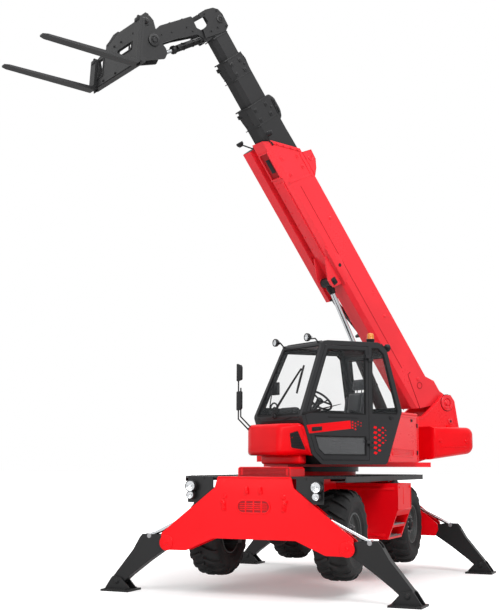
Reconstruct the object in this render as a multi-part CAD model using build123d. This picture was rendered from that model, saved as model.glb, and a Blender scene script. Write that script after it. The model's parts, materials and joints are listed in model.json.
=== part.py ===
"""Telehandler with a slewing upper structure, standing on its four stabilisers.

Millimetres.  The machine stands on z = 0, its slewing axis is the Z axis, +X is the front of the
chassis and +Y its left.  The upper structure is drawn in its own frame (x ahead, y left) and turned
by SLEW_DEG.  The boom is drawn in a third frame: x along the boom from its hinge pin, z across it
(away from the cab), y left.
"""
from build123d import *
from math import cos, radians, sin
import os

os.makedirs("parts", exist_ok=True)

# ---------------------------------------------------------------- driving dimensions
SLEW_DEG = -32.0  # the upper structure as it is parked, turned to the machine's right
BOOM_DEG = 53.0  # the boom above the horizontal
FORK_DEG = 3.3  # the fork blades above the horizontal

# wheels and axles
WHEEL_BASE = 2866.0
TYRE_RADIUS = 580.0  # over the lugs
TYRE_WIDTH = 450.0
TYRE_CENTRE_Y = 872.0
WHEEL_Z = 760.0  # the tyres hang clear of the ground between the stabilisers
RIM_RADIUS = 286.0
KINGPIN_Y = 775.0
AXLE_RADIUS = 85.0
HUB_OUT = 90.0  # the rim's mounting face, out from the wheel's middle plane

# chassis
FRAME_HALF_WIDTH = 360.0
FRAME_BOTTOM = 930.0
DECK_TOP = 1500.0
DECK_THICKNESS = 25.0
DECK_HALF_WIDTH = 1120.0
DECK_END_HALF_WIDTH = 930.0
DECK_SHOULDER_X = 1930.0
WING_OUTER_X = 2250.0  # outer face of the stabiliser beam's front plate
WING_PLATE = 25.0
LEG_WIDTH = 130.0
SIDE_GAP = 7.0  # between a moving part and the plates beside it
RUN_GAP = 0.3  # radial clearance of a pin in its bore, and of a sliding pad
RING_RADIUS = 600.0
RING_GAP = 0.3
RING_TOP = 1555.0
FRONT_BOX = ((1400.0, 1900.0), (-370.0, 370.0))
FRONT_BOX_TOP = 1620.0
TANK_REAR_X = -600.0
TANK_FRONT_X = 100.0
TANK_OUTER_Y = 1270.0
TANK_TOP = 1395.0
TANK_BOTTOM = 620.0
TANK_KNEE = 1030.0  # below this the tank's outer face leans in
TANK_LEAN = 150.0
STEP_TOP = 950.0
STEP_DEPTH = 190.0

# stabilisers, as seen from ahead: (distance out from the middle, height)
LEG_PIVOT = (1227.0, 642.0)
LEG_PIN_RADIUS = 38.0
FOOT_PIN = (1960.0, 130.0)
FOOT_PIN_RADIUS = 20.0
KINGPIN_RADIUS = 30.0
RAM_ANCHOR = (400.0, 1250.0)
RAM_EYE = (1500.0, 722.0)
RAM_BARREL = 640.0
RAM_PISTON = 540.0  # from a barrel's eye to its piston, as parked
RAM_BARREL_RADIUS = 45.0
RAM_ROD_RADIUS = 25.0
FOOT_INNER = 220.0  # the pad's two ends, from the foot's pin
FOOT_OUTER = 190.0
FOOT_WIDTH = 360.0
FOOT_PLATE = 25.0
FOOT_TOP = 195.0

# upper structure
SLAB_BOTTOM = 1620.0
SLAB_TOP = 1690.0
SLAB_RIGHT = 1100.0
HOOD_REAR = -1800.0
HOOD_FRONT = 240.0
EAR_OUTER_Y = 0.0
EAR_PLATE = 35.0
EAR_GAP = 5.0  # between the boom's hub and the ears
BOOM_CENTRE_Y = -270.0
HINGE = (-2720.0, 2647.0)
HINGE_PIN_RADIUS = 60.0
LIFT_ANCHOR = (-1920.0, 1867.0)
LIFT_PIN_RADIUS = 40.0
RAM_PIN_RADIUS = 30.0
BELLY_TOP = 1772.0
NOSE_TOP = 2195.0
NOSE_FRONT = 1260.0
NOSE_ROUNDING = 45.0
WEIGHT_FRONT = -1990.0
WEIGHT_REAR = -3120.0
WEIGHT_RIGHT = 990.0
WEIGHT_LEFT = 450.0
WEIGHT_BOTTOM = 1735.0
WEIGHT_TOP = 2240.0
CAB_WIDTH = 1100.0
CAB_BOTTOM = 1655.0
CAB_WALL = 45.0
CAB_BELT = 2335.0
CAB_BORDER = 62.0
PILLAR = 52.0  # beside the windscreen
DOOR_REAR_X = -100.0
DOOR_GAP = 6.0
DOOR_HINGE_X = DOOR_REAR_X - 5
DOOR_HINGE_Y = CAB_WIDTH + 20
HINGE_KNUCKLE = 14.0
HINGE_LEVELS = (1900.0, 3080.0)
HINGE_ROD = 9.0
PANE = 8.0

LAMP_RADIUS = 56.0
LAMP_STALK = 12.0
BEACON = (-340.0, 880.0)
MIRROR_X = 1400.0
MIRROR_ARM = 13.0

# boom, across (z of the boom frame) and along (x of the boom frame)
BOOM_WALL = 14.0
BOOM_CHAMFER = 60.0
SECTIONS = (  # half width, back face, front face of each telescope section, from the outside in
    (190.0, -60.0, -585.0),
    (162.0, -85.0, -545.0),
    (136.0, -112.0, -480.0),
    (110.0, -138.0, -432.0),
)
BOOM_END_BACK = 4750.0
BOOM_END_FRONT = 5150.0
BOOM_TAIL = 300.0
LIFT_EYE = (2765.0, -700.0)
LIFT_BARREL = 1790.0
LIFT_PISTON = 1122.0
LIFT_BARREL_RADIUS = 85.0
LIFT_ROD_RADIUS = 40.0
HEAD_END = 7212.0
TILT_PIVOT = (7180.0, -1400.0)
TILT_ANCHOR = (6865.0, -525.0)
TILT_EYE = (6970.0, -1330.0)
TILT_PIN_RADIUS = 45.0
TILT_BARREL = 590.0
TILT_PISTON = 280.0
TILT_BARREL_RADIUS = 50.0
TILT_ROD_RADIUS = 28.0

# forks
FORK_LENGTH = 1370.0
FORK_WIDTH = 150.0
FORK_THICKNESS = 50.0
FORK_TIP = 22.0
FORK_SPACING = 1270.0
CARRIAGE_HALF_WIDTH = 712.0

# ---------------------------------------------------------------- frames
TURRET = Location((0, 0, 0), (0, 0, SLEW_DEG))
BOOM = TURRET * Location((HINGE[0], BOOM_CENTRE_Y, HINGE[1]), (0, -BOOM_DEG, 0))
CARRIAGE = BOOM * Location((TILT_PIVOT[0], 0, TILT_PIVOT[1]), (0, BOOM_DEG - FORK_DEG, 0))
BARREL_BORE = 0.76  # a barrel's bore over its outer radius
BARREL_FLOOR = 1.15  # a bore's closed end, from the eye's pin, over the eye's radius
GLAND = 1.1  # a gland's length over the barrel's radius
ROD_COLLAR = 1.3  # a rod's collar, from its pin, over the eye's radius
AXES = {"x": (1, 0, 0), "y": (0, 1, 0), "z": (0, 0, 1)}


# ---------------------------------------------------------------- shapes used again and again
def place(axis, across, up, along):
    """A point of an outline that is drawn out along one axis."""
    return {"x": (along, across, up), "y": (across, along, up), "z": (across, up, along)}[axis]


def outline(axis, start, points, radius=0):
    """The face inside a closed outline, its corners rounded where a radius is given."""
    corners = [place(axis, across, up, start) for across, up in points]
    if radius:
        return make_face(FilletPolyline(*corners, radius=radius, close=True))
    return make_face(Polyline(*corners, close=True))


def prism(axis, start, end, points, radius=0):
    """A closed outline in the two other axes, drawn out from start to end."""
    return extrude(outline(axis, start, points, radius), amount=end - start, dir=AXES[axis])


def box(x, y, z):
    """A box between two values on each axis."""
    return Pos((x[0] + x[1]) / 2, (y[0] + y[1]) / 2, (z[0] + z[1]) / 2) * Box(
        x[1] - x[0], y[1] - y[0], z[1] - z[0]
    )


def bar(start, end, radius):
    """A round bar from one point to another."""
    start, end = Vector(start), Vector(end)
    return extrude(Plane(start, z_dir=end - start) * Circle(radius), amount=(end - start).length)


def disc(axis, centre, radius, start, end):
    """A round bar along one axis: centre gives the two other coordinates."""
    return bar(place(axis, *centre, start), place(axis, *centre, end), radius)


def ram_barrel(start, aim, length, radius, rod_radius, eye_radius, eye_width, pin_radius):
    """A hydraulic cylinder's barrel in the XZ plane, from its eye towards the rod's eye."""
    direction = Vector(aim[0] - start[0], 0, aim[1] - start[1]).normalized()
    base = Vector(start[0], 0, start[1])
    mouth = base + direction * length
    shape = bar(base + direction * eye_radius * 0.7, mouth, radius)
    shape += bar(mouth - direction * radius, mouth, radius * 1.15)
    shape += disc("y", start, eye_radius, -eye_width / 2, eye_width / 2)
    shape -= disc("y", start, pin_radius + RUN_GAP, -eye_width, eye_width)
    gland = mouth - direction * radius * GLAND
    shape -= bar(base + direction * eye_radius * BARREL_FLOOR, gland, radius * BARREL_BORE)
    return shape - bar(gland - direction, mouth + direction, rod_radius + RUN_GAP)


def ram_rod(start, aim, piston, bore, radius, eye_radius, eye_width, pin_radius):
    """The rod that slides in that barrel, with its piston: start is its eye, aim the barrel's eye."""
    base = Vector(start[0], 0, start[1])
    span = Vector(aim[0] - start[0], 0, aim[1] - start[1])
    direction = span.normalized()
    end = base + direction * (span.length - piston)
    shape = bar(base + direction * eye_radius * 0.7, end, radius)
    shape += bar(end - direction * radius, end, bore - RUN_GAP)
    collar = base + direction * eye_radius * ROD_COLLAR
    shape += bar(base + direction * eye_radius * 0.5, collar, radius * 1.3)
    shape += disc("y", start, eye_radius, -eye_width / 2, eye_width / 2)
    return shape - disc("y", start, pin_radius + RUN_GAP, -eye_width, eye_width)


def boom_point(x, z):
    """A point of the upper structure's XZ plane, in the boom's frame."""
    turn = radians(BOOM_DEG)
    ahead, above = x - HINGE[0], z - HINGE[1]
    return ahead * cos(turn) + above * sin(turn), above * cos(turn) - ahead * sin(turn)


def save(name, shape, location=Location()):
    """Write one node, its solids placed in the machine's frame."""
    solids = [solid.moved(location) for solid in shape.solids()]
    whole = solids[0] if len(solids) == 1 else Compound(solids)
    export_step(whole, f"parts/{name}.step")


# ---------------------------------------------------------------- chassis
def chassis_frame():
    """Box frame between the wheels, with the raised box ahead of the slewing ring."""
    end = WING_OUTER_X - 2 * WING_PLATE - LEG_WIDTH - 2 * SIDE_GAP
    deck_bottom = DECK_TOP - DECK_THICKNESS
    frame = box((-end, end), (-FRAME_HALF_WIDTH, FRAME_HALF_WIDTH), (FRAME_BOTTOM, deck_bottom))
    for x in (WHEEL_BASE / 2, -WHEEL_BASE / 2):
        for y in (-1, 1):
            saddle = box((x - 110, x + 110), (y * 270 - 60, y * 270 + 60), (WHEEL_Z + 40, FRAME_BOTTOM))
            frame += saddle - disc("y", (x, WHEEL_Z), AXLE_RADIUS, y * 270 - 60, y * 270 + 60)
    raised = box(*FRONT_BOX, (deck_bottom - 1, FRONT_BOX_TOP))
    frame += fillet(raised.edges().group_by(Axis.Z)[-1], 30)
    ring = disc("z", (0, 0), RING_RADIUS, deck_bottom - 1, RING_TOP)
    return frame + ring - disc("z", (0, 0), RING_RADIUS - 110, deck_bottom - 60, RING_TOP + 1)


def wing_outline(top, cut=0):
    """Front view of a stabiliser beam's plate: flat middle, wings that drop to the leg pins."""
    half = [
        (500, top),
        (540, top - 140),
        (LEG_PIVOT[0] + 75, LEG_PIVOT[1] + 125 - cut),
        (LEG_PIVOT[0] + 85, LEG_PIVOT[1]),
        (LEG_PIVOT[0] + 40, LEG_PIVOT[1] - 90),
        (950, LEG_PIVOT[1] - 87),
        (560, 720),
    ]
    return half + [(-y, z) for y, z in reversed(half)]


def stabiliser_beam(side):
    """Two plates across the machine's end, a leg's width apart, tied in the middle."""
    outer = WING_OUTER_X
    inner = outer - 2 * WING_PLATE - LEG_WIDTH - 2 * SIDE_GAP
    beam = prism("x", outer - WING_PLATE, outer, wing_outline(DECK_TOP), 30)
    beam += prism("x", inner, inner + WING_PLATE, wing_outline(DECK_TOP - DECK_THICKNESS - 5, 30), 30)
    beam += box((inner + 1, outer - 1), (-330, 330), (760, 1130))
    for y in (-1, 1):
        beam += disc("x", (y * RAM_ANCHOR[0], RAM_ANCHOR[1]), RAM_PIN_RADIUS, inner + 1, outer - 1)
        beam += disc("x", (y * LEG_PIVOT[0], LEG_PIVOT[1]), LEG_PIN_RADIUS, inner + 1, outer + 12)
    return beam if side > 0 else mirror(beam, Plane.YZ)


def deck():
    """Flat mudguard deck over the four wheels, cut round the slewing ring and the front box."""
    end = WING_OUTER_X - WING_PLATE
    quarter = [(DECK_SHOULDER_X, DECK_HALF_WIDTH), (end, DECK_END_HALF_WIDTH)]
    points = quarter + [(x, -y) for x, y in reversed(quarter)]
    points += [(-x, -y) for x, y in quarter] + [(-x, y) for x, y in reversed(quarter)]
    plate = prism("z", DECK_TOP - DECK_THICKNESS, DECK_TOP, points)
    plate -= disc("z", (0, 0), RING_RADIUS, DECK_TOP - 100, DECK_TOP + 10)
    for y in (-1, 1):
        lip_y = y * (DECK_HALF_WIDTH - 6)
        lip = box(
            (-DECK_SHOULDER_X, DECK_SHOULDER_X),
            (min(lip_y, lip_y + y * 6), max(lip_y, lip_y + y * 6)),
            (DECK_TOP - 70, DECK_TOP - DECK_THICKNESS),
        )
        plate += lip
    return plate - box(*FRONT_BOX, (DECK_TOP - 200, DECK_TOP + 1))


def side_tank(side):
    """Tank between the wheels; the left one has the climbing steps cut into its outer face."""
    section = [
        (FRAME_HALF_WIDTH, TANK_BOTTOM),
        (TANK_OUTER_Y - TANK_LEAN, TANK_BOTTOM),
        (TANK_OUTER_Y, TANK_KNEE),
        (TANK_OUTER_Y, TANK_TOP),
        (FRAME_HALF_WIDTH, TANK_TOP),
    ]
    tank = prism("x", TANK_REAR_X, TANK_FRONT_X, section)
    if side > 0:
        recess = (STEP_TOP - TANK_BOTTOM - 60) / 2
        for low in (TANK_BOTTOM + 30, TANK_BOTTOM + 30 + recess + 30):
            tank -= box(
                (TANK_REAR_X + 40, TANK_FRONT_X - 40),
                (TANK_OUTER_Y - TANK_LEAN - STEP_DEPTH, TANK_OUTER_Y + 1),
                (low, low + recess),
            )
        return tank
    return mirror(tank, Plane.XZ)


def headlamps():
    """A pair of round lamps at each corner of the front, on a panel below the deck's edge."""
    face = WING_OUTER_X - WING_PLATE
    panel = [(570, DECK_TOP), (930, DECK_TOP), (930, 1165), (800, 1165), (570, 1345)]
    lamps = Part()
    for y in (-1, 1):
        cluster = prism("x", face, face + 12, panel, 15)
        for z, radius in ((1375, 72), (1262, 52)):
            cluster += disc("x", (855, z), radius, face + 11, WING_OUTER_X + 60)
        lamps += cluster if y > 0 else mirror(cluster, Plane.XZ)
    return lamps


def axle(x):
    """Beam axle with its differential and a fork round each kingpin."""
    beam = disc("y", (x, WHEEL_Z), AXLE_RADIUS, -KINGPIN_Y + 190, KINGPIN_Y - 190)
    beam += Pos(x, 0, WHEEL_Z) * Sphere(165)
    for y in (-1, 1):
        for z in (-1, 1):
            level = WHEEL_Z + z * 128
            jaw = box((x - 60, x + 60), (KINGPIN_Y - 200, KINGPIN_Y + 55), (level - 22, level + 22))
            beam += jaw if y > 0 else mirror(jaw, Plane.XZ)
        web = box((x - 60, x + 60), (KINGPIN_Y - 230, KINGPIN_Y - 150), (WHEEL_Z - 150, WHEEL_Z + 150))
        web += disc("z", (x, KINGPIN_Y), KINGPIN_RADIUS, WHEEL_Z - 160, WHEEL_Z + 160)
        beam += web if y > 0 else mirror(web, Plane.XZ)
    return beam


def knuckle(x, side):
    """Steering knuckle: a kingpin housing between the axle's jaws and the hub spindle."""
    body = disc("z", (x, KINGPIN_Y), 70, WHEEL_Z - 100, WHEEL_Z + 100)
    body += disc("y", (x, WHEEL_Z), 60, KINGPIN_Y, TYRE_CENTRE_Y + HUB_OUT - RUN_GAP)
    body -= disc("z", (x, KINGPIN_Y), KINGPIN_RADIUS + RUN_GAP, WHEEL_Z - 200, WHEEL_Z + 200)
    return body if side > 0 else mirror(body, Plane.XZ)


def turned(profile, x, side):
    """A profile of (radius, distance out from the wheel's middle plane), turned about the axle."""
    points = [(x, TYRE_CENTRE_Y + out, WHEEL_Z + radius) for radius, out in profile]
    face = make_face(Polyline(*points, close=True))
    wheel = revolve(face, Axis((x, 0, WHEEL_Z), (0, 1, 0)), 360)
    return wheel if side > 0 else mirror(wheel, Plane.XZ)


def tyre(x, side):
    """Tyre with square shoulders."""
    half = TYRE_WIDTH / 2
    profile = [
        (RIM_RADIUS + 1, -half + 40),
        (RIM_RADIUS + 60, -half + 5),
        (TYRE_RADIUS - 130, -half),
        (TYRE_RADIUS - 40, -half + 30),
        (TYRE_RADIUS - 10, -half + 90),
        (TYRE_RADIUS, -half + 120),
        (TYRE_RADIUS, half - 120),
        (TYRE_RADIUS - 10, half - 90),
        (TYRE_RADIUS - 40, half - 30),
        (TYRE_RADIUS - 130, half),
        (RIM_RADIUS + 60, half - 5),
        (RIM_RADIUS + 1, half - 40),
    ]
    return turned(profile, x, side)


def rim(x, side):
    """Steel rim: a barrel with flanges, its disc dished and bolted to the hub."""
    half = TYRE_WIDTH / 2 - 40
    profile = [
        (RIM_RADIUS, -half - 5),
        (RIM_RADIUS, half + 5),
        (RIM_RADIUS - 16, half + 5),
        (RIM_RADIUS - 24, half - 60),
        (RIM_RADIUS - 90, half - 90),
        (150, half - 75),
        (140, half - 55),
        (90, half - 45),
        (0, half - 45),
        (0, HUB_OUT),
        (130, HUB_OUT),
        (RIM_RADIUS - 90, 70),
        (RIM_RADIUS - 20, 20),
        (RIM_RADIUS - 14, -half - 5),
    ]
    return turned(profile, x, side)


# ---------------------------------------------------------------- stabilisers
def leg():
    """Bent leg of the left front stabiliser, forked at the top for its ram, forked at the foot."""
    back = WING_OUTER_X - WING_PLATE - SIDE_GAP - LEG_WIDTH
    front = back + LEG_WIDTH
    points = [
        (LEG_PIVOT[0] - 75, LEG_PIVOT[1] - 10),
        (LEG_PIVOT[0] + 30, 715),
        (1382, 742),
        (1600, 745),
        (1640, 700),
        (1735, 540),
        (FOOT_PIN[0] + 62, FOOT_PIN[1] + 60),
        (FOOT_PIN[0] + 50, FOOT_PIN[1] - 45),
        (FOOT_PIN[0] - 50, FOOT_PIN[1] - 45),
        (1770, 205),
        (1525, 385),
        (LEG_PIVOT[0] + 40, LEG_PIVOT[1] - 85),
    ]
    shape = prism("x", back, front, points, 20)
    middle = (back + front) / 2
    slot_points = [(1362, 800), (1720, 800), (1650, 655), (1590, 612), (1362, 612)]
    shape -= prism("x", middle - 42, middle + 42, slot_points)
    shape += disc("x", LEG_PIVOT, 75, back, front)
    shape -= disc("x", LEG_PIVOT, LEG_PIN_RADIUS + RUN_GAP, back - 1, front + 1)
    shape -= disc("x", FOOT_PIN, FOOT_PIN_RADIUS + RUN_GAP, back - 1, front + 1)
    return shape


def foot():
    """Ground pad with two gussets that take the leg's pin."""
    back = WING_OUTER_X - WING_PLATE - SIDE_GAP - LEG_WIDTH
    middle = back + LEG_WIDTH / 2
    y = FOOT_PIN[0]
    low = y - FOOT_INNER
    high = y + FOOT_OUTER
    pad = box((middle - FOOT_WIDTH / 2, middle + FOOT_WIDTH / 2), (low, high), (0, FOOT_PLATE))
    for edge in (back - SIDE_GAP - 20, back + LEG_WIDTH + SIDE_GAP):
        pad += prism(
            "x",
            edge,
            edge + 20,
            [
                (low + 12, FOOT_PLATE - 1),
                (y - 70, FOOT_TOP - 25),
                (y + 50, FOOT_TOP),
                (y + 80, FOOT_TOP - 25),
                (high - 12, FOOT_PLATE - 1),
            ],
            12,
        )
    pad += disc("x", FOOT_PIN, FOOT_PIN_RADIUS, back - SIDE_GAP - 10, back + LEG_WIDTH + SIDE_GAP + 10)
    return pad


def across(points):
    """A frame whose x is the machine's y, so that a ram drawn in XZ lies across the machine."""
    middle = WING_OUTER_X - WING_PLATE - SIDE_GAP - LEG_WIDTH / 2
    return Location((middle, 0, 0), (0, 0, 90)) * points


def corner(shape, end, side):
    """The left front piece moved to one of the machine's corners."""
    if end < 0:
        shape = mirror(shape, Plane.YZ)
    return shape if side > 0 else mirror(shape, Plane.XZ)


# ---------------------------------------------------------------- upper structure
CAB_POINTS = [
    (1075, 2300),
    (700, 3325),
    (-320, 3355),
    (-455, 3250),
    (-724, 2400),
    (-430, CAB_BOTTOM),
    (730, CAB_BOTTOM),
    (895, 1785),
]
CAB_LEAN = 190 / 960  # how far the right wall leans in above the belt


def cab_form(inset, grow=0):
    """The cab's outer form, every wall moved in by the same distance."""
    side = outline("y", 0, CAB_POINTS, 70)
    if inset - grow:
        side = offset(side, amount=grow - inset, kind=Kind.INTERSECTION)
    form = extrude(side, amount=CAB_WIDTH, dir=(0, 1, 0))
    form &= box((-2000, 2000), (inset - grow, CAB_WIDTH - inset + grow), (1000, 4000))
    reach = 1100
    lean = [
        (inset - grow - 300, CAB_BELT),
        (inset - grow, CAB_BELT),
        (inset - grow + CAB_LEAN * reach, CAB_BELT + reach),
        (inset - grow - 300, CAB_BELT + reach),
    ]
    return form - prism("x", -2000, 2000, lean)


def door_zone(gap=0):
    """The part of the left wall that swings as the door."""
    side = offset(outline("y", 0, CAB_POINTS, 70), amount=-CAB_BORDER + gap, kind=Kind.INTERSECTION)
    zone = Pos(0, CAB_WIDTH - CAB_WALL - 1, 0) * extrude(side, amount=CAB_WALL + 2, dir=(0, 1, 0))
    return zone & box((DOOR_REAR_X - gap, 2000), (900, 1300), (1000, 4000))


def pane_zone(border, x, z):
    """A window in the left wall, a border inside the cab's outline and between the values given."""
    side = offset(outline("y", 0, CAB_POINTS, 70), amount=-border, kind=Kind.INTERSECTION)
    zone = Pos(0, CAB_WIDTH - CAB_WALL - 1, 0) * extrude(side, amount=CAB_WALL + 2, dir=(0, 1, 0))
    return zone & box(x, (900, 1300), z)


def front_window():
    right, left = PILLAR, CAB_WIDTH - PILLAR
    return prism("x", 640, 1200, [(right, 2308), (left, 2308), (left, 3262), (right + 184, 3262)], 30)


def rear_window():
    return prism("x", -900, -380, [(120, 2440), (CAB_WIDTH - 80, 2440), (CAB_WIDTH - 80, 3170), (290, 3170)], 30)


def right_window():
    side = offset(outline("y", 0, CAB_POINTS, 70), amount=-100, kind=Kind.INTERSECTION)
    zone = Pos(0, -10, 0) * extrude(side, amount=320, dir=(0, 1, 0))
    return zone & box((-2000, 2000), (-20, 320), (CAB_BELT + 90, 4000))


DOOR_PANES = (
    (CAB_BORDER + 48, (DOOR_REAR_X + 48, 2000), (CAB_BELT, 4000)),
    (CAB_BORDER + 58, (DOOR_REAR_X + 48, 2000), (1000, 2040)),
)
QUARTER_PANE = (CAB_BORDER + 10, (-2000, DOOR_REAR_X - 66), (CAB_BELT + 20, 4000))


def cab():
    """The cab's shell and door, cut from one hollow form, and the panes that fill their windows."""
    wall = cab_form(0) - cab_form(CAB_WALL)
    windows = front_window() + rear_window() + right_window()
    quarter = pane_zone(*QUARTER_PANE)
    door_windows = pane_zone(*DOOR_PANES[0]) + pane_zone(*DOOR_PANES[1])
    glass = cab_form(16) - cab_form(16 + PANE)
    shell = wall - windows - quarter - door_zone(DOOR_GAP)
    door = (wall & door_zone()) - door_windows
    for level in HINGE_LEVELS:
        centre = (DOOR_HINGE_X, DOOR_HINGE_Y)
        low = (level, level + 40)
        high = (level + 40 + RUN_GAP, level + 90)
        root = (CAB_WIDTH - 5, DOOR_HINGE_Y + HINGE_KNUCKLE)
        strap = (DOOR_HINGE_Y - HINGE_ROD, DOOR_HINGE_Y + HINGE_KNUCKLE)
        shell += box((DOOR_HINGE_X - 60, DOOR_HINGE_X - 20), root, low)
        shell += box((DOOR_HINGE_X - 21, DOOR_HINGE_X), strap, low)
        shell += disc("z", centre, HINGE_KNUCKLE, *low)
        shell += disc("z", centre, HINGE_ROD, level + 39, level + 90)
        leaf = box((DOOR_HINGE_X + 20, DOOR_HINGE_X + 70), root, high)
        leaf += box((DOOR_HINGE_X, DOOR_HINGE_X + 21), strap, high)
        leaf += disc("z", centre, HINGE_KNUCKLE, *high)
        door += leaf - disc("z", centre, HINGE_ROD + RUN_GAP, level, level + 100)
    return {
        "cab_shell": shell,
        "cab_glass": glass & (windows + quarter),
        "door_frame": door,
        "door_glass": glass & door_windows,
    }


def turret_frame():
    """Slewing disc, deck slab and the two ears that carry the boom."""
    ear_in = EAR_OUTER_Y - EAR_PLATE
    far_out = 2 * BOOM_CENTRE_Y - EAR_OUTER_Y
    frame = disc("z", (0, 0), RING_RADIUS + 40, RING_TOP + RING_GAP, SLAB_BOTTOM + 1)
    slab = [(-1850, -SLAB_RIGHT), (40, -SLAB_RIGHT), (430, -540), (800, -6), (-1850, -6)]
    frame += prism("z", SLAB_BOTTOM, SLAB_TOP, slab)
    frame += box((-1850, -470), (-7, 500), (SLAB_BOTTOM, SLAB_TOP))
    frame += box((-471, 900), (-7, 560), (SLAB_BOTTOM, CAB_BOTTOM))
    pocket = (BOOM_CENTRE_Y - LIFT_BARREL_RADIUS - 40, BOOM_CENTRE_Y + LIFT_BARREL_RADIUS + 40)
    frame -= box((-1851, 300), pocket, (SLAB_TOP - 25, SLAB_TOP + 1))
    ear = [
        (-1250, SLAB_BOTTOM + 20),
        (-1250, 2180),
        (-1700, 2360),
        (-2180, 2420),
        (HINGE[0] + 200, HINGE[1] + 20),
        (HINGE[0] + 90, HINGE[1] + 125),
        (HINGE[0] - 90, HINGE[1] + 130),
        (HINGE[0] - 175, HINGE[1] + 30),
        (-2985, 2240),
        (-2950, 1860),
        (-2225, 1735),
        (-1850, SLAB_BOTTOM + 20),
    ]
    frame += prism("y", ear_in, EAR_OUTER_Y, ear, 40)
    frame += prism("y", far_out, far_out + EAR_PLATE, ear, 40)
    frame += disc("y", HINGE, HINGE_PIN_RADIUS, far_out - 12, EAR_OUTER_Y + 12)
    frame += disc("y", LIFT_ANCHOR, LIFT_PIN_RADIUS, ear_in - 90, EAR_OUTER_Y - 1)
    frame += disc("y", LIFT_ANCHOR, LIFT_PIN_RADIUS, far_out + 1, far_out + EAR_PLATE + 90)
    frame += disc("y", (-2600, 1960), 70, far_out + 1, EAR_OUTER_Y - 1)
    return frame


def counterweight():
    """Cast block round the ears' tail: rounded corners, its underside rising to the rear."""
    plan = [
        (WEIGHT_FRONT, -WEIGHT_RIGHT),
        (WEIGHT_FRONT, WEIGHT_LEFT),
        (-2830, WEIGHT_LEFT),
        (WEIGHT_REAR, 100),
        (WEIGHT_REAR, -640),
        (-2830, -WEIGHT_RIGHT),
    ]
    block = prism("z", WEIGHT_BOTTOM, WEIGHT_TOP, plan, 60)
    rise = [(WEIGHT_FRONT - 100, WEIGHT_BOTTOM), (WEIGHT_REAR - 1, WEIGHT_BOTTOM + 130), (WEIGHT_REAR - 1, 1700)]
    block -= prism("y", -1200, 600, rise + [(WEIGHT_FRONT - 100, 1700)])
    block = fillet(block.edges().group_by(Axis.Z)[-1], 45)
    return block - box((-3000, WEIGHT_FRONT + 1), (2 * BOOM_CENTRE_Y - EAR_OUTER_Y, EAR_OUTER_Y), (1700, 2400))


def side_cover():
    """Louvred cover behind the cab, following the cab's raked rear corner."""
    plan = [(-380, 20), (-380, CAB_WIDTH - 25), (-500, CAB_WIDTH - 40), (-1500, 600), (-1500, 20)]
    cover = prism("z", SLAB_TOP, 2370, plan, 15)
    return cover - cab_form(0, 14)


def engine_hood():
    """Hood over the engine on the right, open underneath."""
    outer = box((HOOD_REAR, HOOD_FRONT), (-1120, -700), (SLAB_TOP, 2300))
    outer = fillet(outer.edges().filter_by(Axis.X).group_by(Axis.Z)[-1], 90)
    return outer - box((HOOD_REAR + 25, HOOD_FRONT - 25), (-1095, -725), (SLAB_TOP - 1, 2270))


def engine():
    """The engine and pumps as one block."""
    return box((-1300, HOOD_FRONT - 100), (-1040, -780), (SLAB_TOP, 2180))


def nose():
    """Red cowl under the windscreen; its left corner is cut back, more so at the bottom."""
    ends = []
    for level, corner_x in ((BELLY_TOP, 900), (NOSE_TOP, 1110)):
        plan = [
            (700, 20),
            (700, CAB_WIDTH - 10),
            (corner_x, CAB_WIDTH - 10),
            (NOSE_FRONT, CAB_WIDTH - 270),
            (NOSE_FRONT, 150),
            (NOSE_FRONT - 60, 20),
        ]
        ends.append(outline("z", level, plan))
    cowl = loft(ends, ruled=True)
    rims = cowl.edges().filter_by(lambda edge: abs(edge.center().X - NOSE_FRONT) < 1)
    return fillet(rims, NOSE_ROUNDING) - cab_form(0, 8)


def nose_beam():
    """Cross beam below the cowl."""
    beam = box((700, 1000), (60, 960), (CAB_BOTTOM, BELLY_TOP))
    beam = fillet(beam.edges().filter_by(Axis.Y).group_by(Axis.X)[-1], 40)
    return beam - cab_form(0, 8)


def seat():
    """Operator's seat on its pedestal."""
    base = box((-330, 130), (330, 780), (2030, 2130))
    back = prism("y", 340, 770, [(-330, 2100), (-210, 2100), (-330, 2700), (-430, 2700)])
    head = prism("y", 430, 680, [(-420, 2720), (-345, 2720), (-370, 2900), (-440, 2900)])
    pedestal = box((-260, 80), (400, 710), (CAB_BOTTOM + CAB_WALL, 2040))
    post = box((-400, -370), (540, 570), (2690, 2730))
    return base + back + head + pedestal + post


def cab_console():
    """Dash pod under the windscreen and the box beside the seat."""
    dash = prism("y", 300, 800, [(700, 1700), (840, 1900), (985, 2290), (760, 2290), (640, 1900)])
    side_box = box((-380, 420), (60, 260), (CAB_BOTTOM + CAB_WALL, 2180))
    column = bar((760, CAB_WIDTH / 2, 2050), (334, CAB_WIDTH / 2, 2541), 38)
    return dash, side_box, column


def steering_wheel():
    """Rim, spokes and boss on the column's end."""
    direction = Vector(-390, 0, 450).normalized()
    centre = Vector(330, CAB_WIDTH / 2, 2546)
    plane = Plane(centre, z_dir=direction)
    wheel = plane * Torus(190, 15)
    wheel += plane * Cylinder(45, 40)
    for turn in (0, 120, 240):
        wheel += plane * (Rot(0, 0, turn) * (Pos(115, 0, 0) * Box(150, 30, 12)))
    return wheel


def work_lamp(root, lamp, facing):
    """Round lamp on a bent stalk, looking along facing (+1 ahead, -1 astern)."""
    stem = bar(root, (root[0] + facing * 60, root[1], root[2] + 55), LAMP_STALK)
    stem += bar((root[0] + facing * 55, root[1], root[2] + 52), lamp, LAMP_STALK)
    return stem + disc("x", lamp[1:], LAMP_RADIUS, lamp[0] - 35, lamp[0] + 35)


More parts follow.
